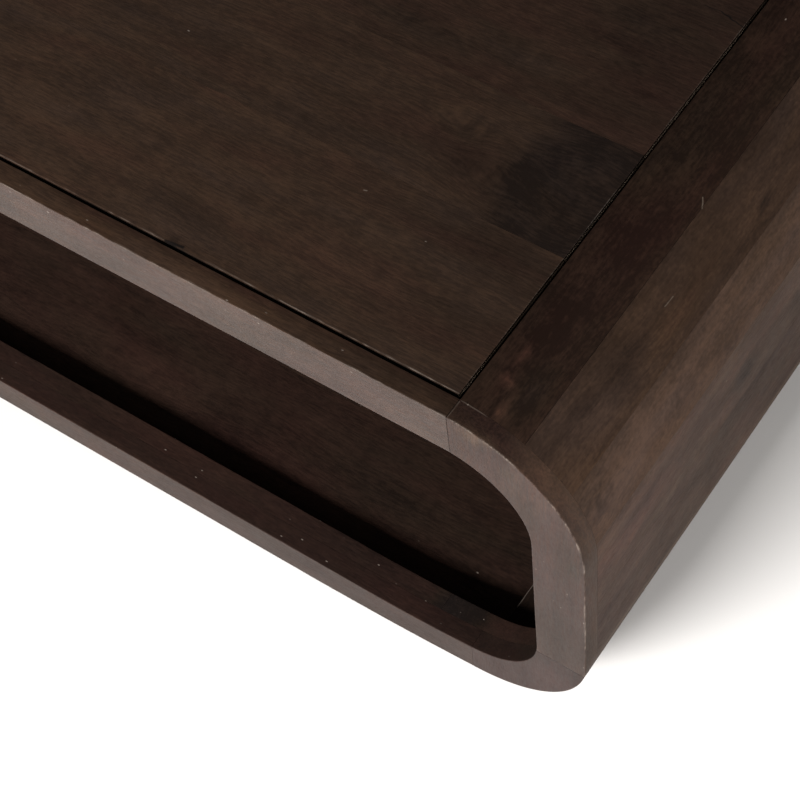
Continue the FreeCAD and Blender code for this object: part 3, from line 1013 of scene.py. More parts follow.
    def speckle(self, tree: Tree, place: Socket) -> Socket:
        """Scatters pale specks of filler of the speck size, one in some of the cells of the speck spacing.

        Args:
            tree: the material's tree.
            place: the place in the wood, in millimetres.

        Returns:
            The socket with up to 1 inside a speck and 0 elsewhere.
        """
        step = self.speck_spacing
        scaled = add(tree, "VectorMath", {0: place, 1: (0.5 / step, 1 / step, 1 / step)},
                     operation="MULTIPLY")
        colour = add(tree, "TexVoronoi", {"Vector": scaled, "Scale": 1.0}, "Color")
        chosen = add(tree, "MapRange", {"Value": colour, "From Min": 0.55, "From Max": 0.75})
        small = add(tree, "MapRange", {
            "Value": colour.node.outputs["Distance"], "From Min": 0.5 * self.speck_size / step,
            "From Max": 1.2 * self.speck_size / step, "To Min": 1.0, "To Max": 0.0})
        return add(tree, "Math", {0: chosen, 1: small}, operation="MULTIPLY")

    def lacquer(self, tree: Tree, facts: dict[str, Socket],
                layers: dict[str, Socket]) -> tuple[Socket, Socket]:
        """Works out how rough the lacquer is and how strongly it shines.

        The gloss runs from the matt to the satin values, and wood without any is as rough as bare wood.
        Fibres and pores roughen it, and the clouds and the mottle make the sheen uneven.

        Args:
            tree: the material's tree.
            facts: the attributes' sockets.
            layers: the grain layers' sockets.

        Returns:
            The sockets with the roughness and with the specular level.
        """
        rough, sheen = (add(tree, "MapRange", {"Value": facts["gloss"], "To Min": matt, "To Max": satin})
                        for matt, satin in ((self.matt_roughness, self.satin_roughness),
                                            (self.matt_specular, self.satin_specular)))
        bare = add(tree, "Math", {0: facts["gloss"], 1: -self.bare_fall, 2: self.bare_roughness},
                   operation="MULTIPLY_ADD")
        rough = add(tree, "Math", {0: rough, 1: bare}, operation="MAXIMUM")
        for name, weight in (("fibres", 0.08), ("pores", 0.06)):
            rough = add(tree, "Math", {0: layers[name], 1: weight, 2: rough}, operation="MULTIPLY_ADD")
        patches = add(tree, "Math", {0: layers["mottle"], 1: layers["clouds"]}, operation="ADD")
        uneven = add(tree, "MapRange", {"Value": patches, "From Max": 2.0, "To Min": 1.0 - self.sheen_mottle,
                                        "To Max": 1.0 + self.sheen_mottle})
        return rough, add(tree, "Math", {0: sheen, 1: uneven}, operation="MULTIPLY")

    def marked(self, tree: Tree, seen: Socket, colour: Socket, mark: Mark) -> Socket:
        """Draws a mark over a colour.

        The place wavers a little. Its distance to the line from start to end is that to the nearest point
        start + way * t, where t is the place's own share along the line held between 0 and the length.

        Args:
            tree: the material's tree.
            seen: Object coordinates, in metres.
            colour: the colour under the mark.
            mark: the mark.

        Returns:
            The socket with the colour and the mark.
        """
        line = np.array(mark.end) - np.array(mark.start)
        length = float(np.linalg.norm(line))
        way = tuple(line / length)
        away = add(tree, "VectorMath", {0: seen, 1: (1 / MM,) * 3, 2: tuple(-x for x in mark.start)},
                   operation="MULTIPLY_ADD")
        waver = add(tree, "TexNoise", {"Vector": seen, "Scale": 0.12 / MM, "Detail": 1.0}, "Color")
        aside = add(tree, "VectorMath", {0: waver, 1: (2 * mark.waver,) * 3, 2: (-mark.waver,) * 3},
                    operation="MULTIPLY_ADD")
        away = add(tree, "VectorMath", {0: away, 1: aside}, operation="ADD")
        along = add(tree, "VectorMath", {0: away, 1: way}, "Value", operation="DOT_PRODUCT")
        held = add(tree, "Clamp", {"Value": along, "Min": 0.0, "Max": length})
        nearest = add(tree, "VectorMath", {0: way, "Scale": held}, operation="SCALE")
        distance = add(tree, "VectorMath", {0: away, 1: nearest}, "Value", operation="DISTANCE")
        share = add(tree, "MapRange", {"Value": distance, "From Min": 0.3 * mark.width,
                                       "From Max": 0.8 * mark.width, "To Min": mark.strength, "To Max": 0.0})
        return add(tree, "Mix", {"Factor": share, 6: colour, 7: linear(mark.colour)}, 2, data_type="RGBA")


@dataclass(frozen=True)
class FastenerSteel:
    """Steel, turned and pressed, zinc plated for a screw and left bright for a nail.

    The eye sees a cool grey metal with a soft sheen, and slightly darker rings and scuffs from the tool.
    """

    name: str
    colour: str = "#b4b2ac"
    dull: str = "#8c8a86"
    roughness: float = 0.34
    mark_spacing: float = 0.6

    def material(self) -> Material:
        """Builds the material.

        Returns:
            A metal with tool marks of a real spacing, on Object coordinates.
        """
        material, tree = blank_material(self.name)
        seen = add(tree, "TexCoord", out="Object")
        fine = 1 / (self.mark_spacing * MM)
        scaled = add(tree, "Mapping", {"Vector": seen, "Scale": (fine, fine, 3 * fine)})
        marks = add(tree, "TexNoise", {"Vector": scaled, "Scale": 1.0, "Detail": 3.0}, "Fac")
        colour = add(tree, "Mix", {"Factor": marks, 6: linear(self.colour), 7: linear(self.dull)}, 2,
                     data_type="RGBA")
        gloss = add(tree, "MapRange", {"Value": marks, "To Min": self.roughness - 0.08,
                                       "To Max": self.roughness + 0.14})
        bump = add(tree, "Bump", {"Strength": 0.2, "Distance": 0.05 * MM, "Height": marks})
        shader = add(tree, "BsdfPrincipled", {"Base Color": colour, "Metallic": 1.0, "Roughness": gloss,
                                              "Normal": bump})
        add(tree, "OutputMaterial", {"Surface": shader})
        return material


@dataclass(frozen=True)
class MouldedNylon:
    """Nylon, injection moulded and spark eroded matt: a dark brown plastic with a fine even texture.

    The eye sees a dull, slightly grey brown that is scuffed paler underneath.
    """

    name: str
    colour: str = "#2b2521"
    scuffed: str = "#4a443f"
    roughness: float = 0.58
    texture_grain: float = 0.5
    scuff_size: float = 6.0

    def material(self) -> Material:
        """Builds the material.

        Returns:
            A plastic with its mould texture and a few scuffs, on Object coordinates.
        """
        material, tree = blank_material(self.name)
        seen = add(tree, "TexCoord", out="Object")
        texture = add(tree, "TexNoise", {"Vector": seen, "Scale": 1 / (self.texture_grain * MM),
                                         "Detail": 2.0}, "Fac")
        scuffs = add(tree, "TexNoise", {"Vector": seen, "Scale": 1 / (self.scuff_size * MM), "Detail": 4.0,
                                        "Roughness": 0.7}, "Fac")
        share = add(tree, "MapRange", {"Value": scuffs, "From Min": 0.55, "From Max": 0.75})
        colour = add(tree, "Mix", {"Factor": share, 6: linear(self.colour), 7: linear(self.scuffed)}, 2,
                     data_type="RGBA")
        bump = add(tree, "Bump", {"Strength": 0.25, "Distance": 0.1 * MM, "Height": texture})
        shader = add(tree, "BsdfPrincipled", {"Base Color": colour, "Roughness": self.roughness,
                                              "Normal": bump})
        add(tree, "OutputMaterial", {"Surface": shader})
        return material


@dataclass
class Frame:
    """Sizes that all sub-assemblies share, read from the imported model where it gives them."""

    corner_radius: float = 119.0
    opening_radius: float = 73.0
    lift_length: float = 171.0
    lift_radius: float = 1780.0
    lip_lift_length: float = 100.0
    lip_lift_radius: float = 813.0
    side_rail_width: float = 46.0
    stave_thickness: float = 18.0

    def __post_init__(self) -> None:
        """Reads the table's box, its layers and its joints from the CAD nodes."""
        rail_low, rail_high = node_box("front_top_rail")
        base_low, base_high = node_box("front_bottom_rail")
        upper_low, upper_high = node_box("front_right_upper_corner")
        _, inner_high = node_box("front_inner_top_rail")
        inner_corner_low, _ = node_box("front_right_inner_upper_corner")
        _, floor_high = node_box("floor_board_3")
        board_low, board_high = node_box("top_board_3")
        self.front, self.layer_back = rail_low[1], rail_high[1]
        self.inner_back = inner_high[1]
        self.rail_joint_x = rail_high[0]
        self.inner_joint_x = inner_high[0]
        self.side_joint_z = upper_low[2]
        self.inner_side_joint_z = inner_corner_low[2]
        self.floor_joint_x, self.floor_top = floor_high[0], floor_high[2]
        self.panel_end_x, self.panel_underside = board_high[0], board_low[2]
        half_length = upper_high[0]
        self.outside = Outline(half_length, rail_high[2], base_low[2], self.corner_radius, self.lift_length,
                               self.lift_radius)
        opening_half = half_length - self.side_rail_width
        # The rails' boxes end at the joint, where the opening's arcs have left the level by these two heights
        past = self.rail_joint_x - (opening_half - self.opening_radius)
        arch_drop = self.opening_radius - math.sqrt(self.opening_radius ** 2 - past ** 2)
        lip_past = past + self.lip_lift_length
        lip_rise = self.lip_lift_radius - math.sqrt(self.lip_lift_radius ** 2 - lip_past ** 2)
        self.opening = Outline(opening_half, rail_low[2] + arch_drop, base_high[2] - lip_rise,
                               self.opening_radius, self.lip_lift_length, self.lip_lift_radius)
        self.wall_inside = self.outside.inset(self.stave_thickness)


def rail_ribbon(half_length: float, outer_z: Curve, inner_z: Curve) -> Ribbon:
    """Makes a ribbon along X from end to end, where two functions give the heights of its curves.

    Args:
        half_length: half its length, in millimetres.
        outer_z: gives the outer curve's heights at places along X.
        inner_z: gives the inner curve's.

    Returns:
        The ribbon, from the left to the right.
    """
    x = np.linspace(-half_length, half_length, RAIL_POINTS)
    outer, inner = (np.stack([x, height(x) * np.ones_like(x)], axis=-1) for height in (outer_z, inner_z))
    return Ribbon(outer, inner, (0, len(x) - 1))


def figures_within(figures: tuple[Figure, ...], low: float, high: float) -> tuple[Figure, ...]:
    """Picks the figures whose centre lies between two depths, which is how boards keep to their own."""
    return tuple(figure for figure in figures if low <= figure.centre[1] < high)


def figures_at(height: float, reach: float, rows: tuple[tuple[float, ...], ...]) -> tuple[Figure, ...]:
    """Makes figures whose centres lie at one height.

    Args:
        height: the height in millimetres.
        reach: how far each reaches up and down, in millimetres.
        rows: for each its x, its y, its reach both ways, and then tone, hue, eye, softness, wobble and curl.

    Returns:
        The figures.
    """
    return tuple(Figure((x, y, height), (length, depth, reach), *looks)
                 for x, y, length, depth, *looks in rows)


@dataclass
class RingLayer:
    """One layer of the front and the back ring. Each ring has two rails, and two corner pieces at each end.

    The class of a layer gives rails and corners, which are the pieces at the front right, and its slot and
    seed_step, by which the seeds of a corner piece differ from one corner of the table to the next.
    """

    frame: Frame

    def build(self, along: Material, upright: Material) -> None:
        """Builds the rails and the corner pieces of both rings.

        Args:
            along: wood with its grain along the table.
            upright: wood with its grain upright.
        """
        rails, corners = self.rails(), self.corners()
        for face in Face:
            behind = face is Face.BACK
            for rail in rails:
                replace(rail, node=face.name.lower() + rail.node, face=face,
                        seed=rail.seed + behind).piece(along, self.slot)
            for side in Side:
                which = face.name.lower() + "_" + side.name.lower()
                step = self.seed_step * (behind + 2 * (side is Side.LEFT))
                for corner in corners:
                    replace(corner, node=which + corner.node, face=face, side=side,
                            seed=corner.seed + step).piece(upright, self.slot)


@dataclass
class OuterRing(RingLayer):
    """Outer layer of both rings, the flat face with rounded arrises paled by wear and a painted highlight."""

    arris: float = 0.75
    glued_arris: float = 0.12
    gap_arris: float = 0.6
    top_joint_gap: float = 0.3
    side_joint_gap: float = 0.45
    base_joint_gap: float = 0.1
    # Painted shade: inside_shade darkens the faces inside the opening, gap_shade the rails' back faces, which
    # for the top rail lie along the gap to the top panel
    inside_shade: float = 0.4
    gap_shade: float = 0.6
    open_line: float = 1.0
    glued_line: float = 0.25
    # Painted tint: front and inside faces are made redder for how the light falls on them; the bottom rail's
    # base_blush leaves its front out
    blush: Four = (0.0, 0.0, 0.3, 0.35)
    base_blush: Four = (0.0, 0.0, 0.3, 0.0)
    matt_corner: Triple = (0.46, 150.0, 70.0)
    figures: tuple[Figure, ...] = (
        Figure((511.0, -351.0, 391.0), (15.0, 5.0, 6.0), 0.9, -0.9, 0.0, 0.25),
        Figure((520.0, -338.0, 396.0), (34.0, 10.0, 30.0), -0.78, 0.2, 0.0, 0.25),
        Figure((190.0, -345.0, 401.0), (220.0, 5.0, 5.0), 0.4, -0.2, 0.0, 0.3),
        Figure((330.0, -332.0, 401.0), (170.0, 5.0, 6.0), -0.3, 0.3, 0.0, 0.3),
        Figure((557.0, -337.0, 373.0), (26.0, 9.0, 24.0), 0.42, 0.0, 0.0, 0.3),
        Figure((20.0, -351.0, 24.0), (110.0, 6.0, 40.0), 0.5, 0.0, 0.0, 0.4),
        Figure((412.0, -341.0, 401.0), (50.0, 7.0, 6.0), -0.26, -0.1, 0.0, 0.3),
        Figure((410.0, -339.0, 48.0), (40.0, 9.0, 20.0), 0.15, 0.4, 0.0, 0.3),
        Figure((310.0, -339.0, 48.0), (40.0, 9.0, 20.0), -0.15, 0.0, 0.0, 0.3),
        Figure((500.0, -339.0, 56.0), (60.0, 9.0, 24.0), -0.25, 0.0, 0.0, 0.3),
        Figure((190.0, -339.0, 48.0), (110.0, 9.0, 20.0), 0.25, 0.2, 0.0, 0.3),
        Figure((533.0, -350.0, 364.0), (5.0, 4.0, 3.0), 0.1, -0.9, 0.0, 0.25),
        Figure((590.0, -350.0, 276.0), (3.5, 4.0, 8.0), 0.1, -0.8, 0.0, 0.25),
        # Painted shade: the side is darker towards the bottom, where less light reaches the face
        Figure((575.0, -350.0, 200.0), (40.0, 8.0, 90.0), -0.3, 0.0, 0.0, 0.3),
        Figure((560.0, -350.0, 40.0), (56.0, 8.0, 44.0), 0.1, 0.7, 0.0, 0.4),
    )
    knocks: tuple[Knock, ...] = (Knock((600.0, -350.0, 292.0), 1.6, 0.4),
                                 Knock((600.0, -350.0, 284.0), 1.2, 0.3))
    seed_step: int = 5
    slot: str = "ring_outer_layer"

    @staticmethod
    def marks() -> tuple[Mark, ...]:
        """Gives the pale lines of the seam behind the ring and of the joint in its top edge."""
        return (Mark((489.5, -332.6, 400.0), (512.0, -332.6, 396.6), 0.9, "#51473f", 0.45, 0.3),
                Mark((488.8, -349.0, 400.0), (488.8, -334.0, 400.0), 0.8, "#4d443d", 0.5, 0.4))

    def shared(self) -> dict[str, object]:
        """Gives the values that all pieces of this layer share."""
        return {"front": self.frame.front, "back": self.frame.layer_back, "joint_wave": 0.5,
                "depth_spacing": 4.5, "figures": self.figures, "knocks": self.knocks}

    def rails(self) -> tuple[Timber, Timber]:
        """Plans the top rail, whose back edge is free along the top panel, and the bottom rail.

        Returns:
            Both rails of the front ring.
        """
        size = self.frame
        top_half = size.rail_joint_x - self.top_joint_gap / 2
        base_half = size.rail_joint_x - self.base_joint_gap / 2
        shared = {**self.shared(), "rub": (0.4, 0.1, -0.3, 0.1), "spacing": 2.5,
                  "shade": (0.0, self.gap_shade, self.inside_shade, 0.0)}
        return (
            Timber("_top_rail", rail_ribbon(top_half, size.outside.top_z, size.opening.top_z),
                   arris=(self.arris, self.gap_arris, self.glued_arris, self.arris),
                   gloss=(0.0, 0.0, 0.15, 1.08), blush=self.blush, end_line=(self.open_line,) * 2,
                   tone=0.12, seed=3, **shared),
            # Painted shade: the bottom rail is darker in tone, as less light reaches the lower faces
            Timber("_bottom_rail", rail_ribbon(base_half, size.outside.base_z, size.opening.base_z),
                   arris=(self.arris, self.glued_arris, self.glued_arris, self.arris),
                   gloss=(0.0, 0.0, 0.15, 0.79), blush=self.base_blush, end_line=(self.glued_line,) * 2,
                   tone=-0.28, hue=0.3, seed=10, **shared),
        )

    def corners(self) -> tuple[Timber, Timber]:
        """Plans the upper piece, a corner and a side in one, and the lower corner piece.

        Returns:
            Both pieces of the front right corner.
        """
        size = self.frame
        outlines = (size.outside, size.opening)
        top_x = size.rail_joint_x + self.top_joint_gap / 2
        base_x = size.rail_joint_x + self.base_joint_gap / 2
        side_z = [size.side_joint_z + share * self.side_joint_gap for share in (0.5, -0.5)]
        upper, lower = [], []
        for line in outlines:
            above, below = (line.station_of(1, height, 2.0, 4.0) for height in side_z)
            upper.append([line.station_of(0, top_x, 1.0, 2.0), 2.0, 3.0, above])
            lower.append([below, 4.0, line.station_of(0, base_x, 4.0, 5.0)])
        shared = {**self.shared(), "arris": (self.arris, self.glued_arris, self.glued_arris, self.arris),
                  "shade": (0.0, 0.0, self.inside_shade, 0.0), "gloss": (0.24, 0.0, 0.15, 0.81),
                  "blush": self.blush, "spacing": 1.8, "hue": 0.1, "grain": Grain.HEIGHT}
        return (
            Timber("_upper_corner", Ribbon.between(outlines[0], upper[0], outlines[1], upper[1]),
                   rub=(0.5, 0.0, -0.3, 0.15), end_line=(self.open_line,) * 2, end_rub=(0.8, 0.0),
                   matt_start=self.matt_corner, tone=0.05, seed=31, **shared),
            # Painted shade: the lower corner is darker in tone, as less light reaches the lower faces
            Timber("_lower_corner", Ribbon.between(outlines[0], lower[0], outlines[1], lower[1]),
                   rub=(0.4, 0.0, -0.3, 0.1), end_line=(self.open_line, self.glued_line), tone=-0.39,
                   seed=32, **shared),
        )


@dataclass
class InnerRing(RingLayer):
    """Inner layer of both rings, the back half of the lip, which carries the top and backs the end walls."""

    arris: float = 0.9
    glued_arris: float = 0.12
    joint_gap: float = 0.1
    # Painted shade on the faces inside the opening
    inside_shade: float = 0.2
    step_points: int = 120
    figures: tuple[Figure, ...] = (
        Figure((460.0, -323.0, 40.0), (26.0, 16.0, 22.0), -0.5, -1.1, 0.0, 0.12),
        Figure((330.0, -323.0, 44.0), (90.0, 16.0, 20.0), -0.45, 0.1, 0.0, 0.3),
        Figure((170.0, -323.0, 44.0), (80.0, 16.0, 20.0), 0.36, 0.0, 0.0, 0.3),
        Figure((505.0, -330.0, 50.0), (12.0, 10.0, 14.0), 0.1, 0.2, 0.0, 0.3),
    )
    seed_step: int = 3
    slot: str = "ring_inner_layer"

    def shared(self) -> dict[str, object]:
        """Gives the values that all pieces of this layer share."""
        return {"front": self.frame.layer_back, "back": self.frame.inner_back,
                "arris": (self.glued_arris, self.glued_arris, self.arris, self.glued_arris),
                "rub": (0.0, 0.0, 0.25, -0.3), "shade": (0.0, 0.0, self.inside_shade, 0.0),
                "gloss": (0.0, 0.0, 0.15, 0.0), "joint_wave": 0.3, "tone": -0.39, "figures": self.figures}

    def rails(self) -> tuple[Timber, Timber]:
        """Plans the top rail, right under the top panel, and the bottom rail, right under the floor.

        Returns:
            Both rails of the front ring.
        """
        size = self.frame
        half = size.inner_joint_x - self.joint_gap / 2
        shared = {**self.shared(), "spacing": 4.0, "hue": 0.6}
        return (
            Timber("_inner_top_rail", rail_ribbon(half, lambda x: size.panel_underside, size.opening.top_z),
                   seed=51, **shared),
            Timber("_inner_bottom_rail", rail_ribbon(half, lambda x: size.floor_top, size.opening.base_z),
                   seed=54, **shared),
        )

    def corners(self) -> tuple[Timber, Timber]:
        """Plans the upper piece and the lower one.

        The lower piece follows the end wall down to the floor joint, steps down the side of the floor and
        runs along its top.

        Returns:
            Both pieces of the front right corner.
        """
        size = self.frame
        wall, opening = size.wall_inside, size.opening
        start_x = size.inner_joint_x + self.joint_gap / 2
        top = [line.station_of(0, start_x, 0.0, 2.0) for line in (wall, opening)]
        above, below = ([line.station_of(1, size.inner_side_joint_z + gap, 2.0, 3.0)
                         for line in (wall, opening)] for gap in (self.joint_gap / 2, -self.joint_gap / 2))
        upper = Ribbon.between(wall, [top[0], 1.0, 2.0, above[0]], opening, [top[1], 1.0, 2.0, above[1]])
        wall_foot = wall.station_of(0, size.floor_joint_x, 3.0, 4.0)
        opening_turn = opening.station_of(0, size.floor_joint_x, 3.0, 4.0)
        opening_step = opening.station_of(0, size.rail_joint_x, 3.0, 5.0)
        opening_end = opening.station_of(0, start_x, 4.0, 5.0)
        around = Ribbon.between(wall, [below[0], 3.0, wall_foot], opening, [below[1], 3.0, opening_turn])
        share = np.linspace(0.0, 1.0, self.step_points)
        foot_x, foot_z = wall.at(np.array([wall_foot]))[0]
        drop = foot_z + (size.floor_top - foot_z) * share
        run = foot_x + (start_x - foot_x) * share
        step_down = np.stack([np.full_like(share, foot_x), drop], axis=-1)
        under = np.stack([run, np.full_like(share, size.floor_top)], axis=-1)
        lower = Ribbon.joined([
            (around.outer, around.inner),
            (step_down, opening.at(opening_turn + (opening_step - opening_turn) * share)),
            (under, opening.at(opening_step + (opening_end - opening_step) * share)),
        ])
        shared = {**self.shared(), "spacing": 3.0, "hue": 0.5, "grain": Grain.HEIGHT}
        return (Timber("_inner_upper_corner", upper, seed=61, **shared),
                Timber("_inner_lower_corner", lower, seed=62, **shared))


@dataclass
class EndWall:
    """Curved wall at one end: eight staves along the depth, glued edge to edge round both corners."""

    frame: Frame
    side: Side
    glued_arris: float = 0.12
    gap_arris: float = 0.6
    upper_angles: Triple = (30.3, 55.8, 82.4)
    lower_angles: Triple = (4.2, 32.0, 60.0)
    tones: tuple[float, ...] = (-0.66, -0.04, 0.33, -0.02, -0.2, 0.05, 0.0, -0.1)
    hues: tuple[float, ...] = (0.2, -0.2, -0.3, 0.1, 0.1, 0.0, 0.1, 0.1)
    # Painted shade on the staves' inside faces, deeper towards the floor
    inside_shades: tuple[float, ...] = (0.2, 0.2, 0.2, 0.2, 0.3, 0.4, 0.6, 0.7)
    glosses: tuple[float, ...] = (0.0, 0.0, 0.1, 0.2, 0.2, 0.2, 0.2, 0.2)
    # Each patch: length down the arc, depth, reach both ways, tone, hue, then eye, softness and curl, which
    # patch_rest gives where they are left out. The first ones make a knot with pale flames at the front
    # corner, the fourth is painted shade that darkens the far back, and the others are streaks and clouds.
    patches: tuple[tuple[float, ...], ...] = (
        (36.0, -294.0, 10.0, 22.0, -0.3, -0.2, 0.3, 0.3, 0.1),
        (26.0, -286.0, 26.0, 60.0, -0.02, 0.0, 0.0, 0.3, 0.1),
        (22.0, -262.0, 14.0, 30.0, -0.2, 0.0, 0.0, 0.3, 0.1),
        # Painted shade: darker towards the far back, where less light reaches
        (40.0, 150.0, 60.0, 190.0, -0.1, 0.0, 0.0, 0.3),
        (29.0, -321.0, 3.4, 12.0, 1.1, 0.3, 0.3),
        (20.0, -300.0, 6.0, 4.0, 1.1, 0.3),
        (17.0, -275.0, 2.6, 9.0, 0.9, 0.3),
        (12.0, -86.0, 2.4, 15.0, 0.4, 0.1),
        (13.0, -46.0, 2.8, 12.0, 0.4, 0.2),
        (14.0, 66.0, 8.0, 14.0, 0.4, 0.1, 0.5),
        (30.0, -198.0, 22.0, 50.0, -0.4, 0.2, 0.0, 0.3, 0.1),
        (36.0, -110.0, 14.0, 60.0, -0.05, 0.1),
        (130.0, -312.0, 12.0, 26.0, -0.2, -0.1, 0.5, 0.3, 0.4),
        (94.0, -41.0, 2.2, 9.0, -0.9, -0.3),
        (132.0, -262.0, 18.0, 60.0, 0.3, -0.1),
        (78.0, -224.0, 4.0, 30.0, -0.4, 0.1),
        (92.0, -280.0, 9.0, 24.0, 0.45, -0.1, 0.0, 0.3),
        (150.0, -296.0, 9.0, 26.0, 0.3, -0.5, 0.0, 0.3),
        (122.0, -90.0, 12.0, 52.0, -0.08, 0.1),
        (222.0, -112.0, 15.0, 14.0, -0.35, -0.4),
        (206.0, -300.0, 22.0, 60.0, 0.1, 0.3, 0.0, 0.3, 0.2),
        (256.0, -40.0, 26.0, 70.0, -0.3, 0.1, 0.0, 0.3),
        (84.0, -322.0, 18.0, 12.0, 0.25, 0.0, 0.0, 0.3),
        (184.0, -320.0, 20.0, 14.0, 0.25, 0.0, 0.0, 0.3),
        (9.0, -318.0, 8.0, 20.0, 0.2, -0.2, 0.0, 0.3),
    )
    patch_rest: Triple = (0.0, 0.2, 0.0)
    patch_wobble: float = 0.3
    joint_line: float = 0.25
    # Painted highlight along the last stave's arris above the floor, drawn as pale wear
    foot_rub: float = 0.7
    foot_overhang: float = 0.3
    foot_end: float = 291.0
    slot: str = "end_wall_staves"

    def spot(self, length: float, depth: float) -> Triple:
        """Works out a place on the outside, round the upper corner and straight down below it.

        Args:
            length: length down the outside from the top joint, in millimetres.
            depth: the place's Y.

        Returns:
            The place, in millimetres.
        """
        outside = self.frame.outside
        start = math.asin((self.frame.rail_joint_x - outside.corner_x) / outside.radius)
        angle = start + length / outside.radius
        turned = min(angle, math.pi / 2)
        x = outside.corner_x + outside.radius * math.sin(turned)
        z = outside.upper_z + outside.radius * (math.cos(turned) - (angle - turned))
        return (self.side.value * x, depth, z)

    def figures(self) -> tuple[Figure, ...]:
        """Makes a figure of each patch.

        Returns:
            The figures of this wall.
        """
        made = []
        for length, depth, down, along, tone, hue, *more in self.patches:
            eye, softness, curl = (*more, *self.patch_rest[len(more):])
            made.append(Figure(self.spot(length, depth), (down, along, down), tone, hue, eye, softness,
                               self.patch_wobble, curl))
        return tuple(made)

    def marks(self) -> tuple[Mark, ...]:
        """Works out the marks of this wall.

        Returns:
            A painted highlight along the arris where the wall ends above the floor, and two pale nicks.
        """
        inside, foot_x = self.frame.wall_inside, self.frame.floor_joint_x
        foot_z = inside.at(np.array([inside.station_of(0, foot_x, 3.0, 4.0)]))[0, 1]
        foot_x = self.side.value * (foot_x + self.foot_overhang)
        foot = [(foot_x, depth, foot_z) for depth in (-self.foot_end, self.foot_end)]
        # The first mark is a painted highlight along the arris at the wall's foot
        return (Mark(*foot, 0.9, "#6a6058", 0.38, 0.7),
                Mark(self.spot(56.0, -87.0), self.spot(52.0, -79.0), 1.0, "#544a41", 0.55, 0.9),
                Mark(self.spot(78.0, -171.0), self.spot(79.0, -160.0), 0.8, "#4d443c", 0.5, 0.7))

    def build(self, wood: Material) -> None:
        """Builds the staves, from the top joint down to the floor joint.

        A stave runs between the same two stations of the outside and the inside, and the first and the last
        one end at the joints' own places.

        Args:
            wood: wood with its grain along the depth.
        """
        size = self.frame
        outlines = (size.outside, size.wall_inside)
        lower_turn = 90.0 - math.degrees(size.outside.lift_angle)
        middle = [1.0 + angle / 90.0 for angle in self.upper_angles] + [2.5]
        middle += [3.0 + angle / lower_turn for angle in self.lower_angles]
        cuts = [[line.station_of(0, size.rail_joint_x, 1.0, 2.0) for line in outlines],
                *([station, station] for station in middle),
                [line.station_of(0, size.floor_joint_x, 3.0, 4.0) for line in outlines]]
        last = len(cuts) - 2
        for number, (starts, ends) in enumerate(zip(cuts, cuts[1:])):
            stations = [[start, *(turn for turn in (2.0, 3.0) if start + 0.01 < turn < end - 0.01), end]
                        for start, end in zip(starts, ends)]
            Timber(
                node="%s_stave_%d" % (self.side.name.lower(), number + 1),
                ribbon=Ribbon.between(outlines[0], stations[0], outlines[1], stations[1]),
                front=size.layer_back, back=-size.layer_back, side=self.side,
                arris=(self.glued_arris,) * 4, rub=(-0.1, -0.1, 0.0, 0.0),
                shade=(0.0, 0.0, self.inside_shades[number], 0.0),
                gloss=(self.glosses[number], 0.0, 0.0, 0.0),
                end_easing=self.glued_arris if number else self.gap_arris,
                end_line=(self.joint_line,) * 2, end_rub=(0.0, self.foot_rub * (number == last)), hand=0.12,
                spacing=3.0, depth_spacing=4.0, tone=self.tones[number], hue=self.hues[number],
                grain=Grain.DEPTH, figures=self.figures(), seed=81 + number + 40 * (self.side is Side.LEFT),
            ).piece(wood, self.slot)


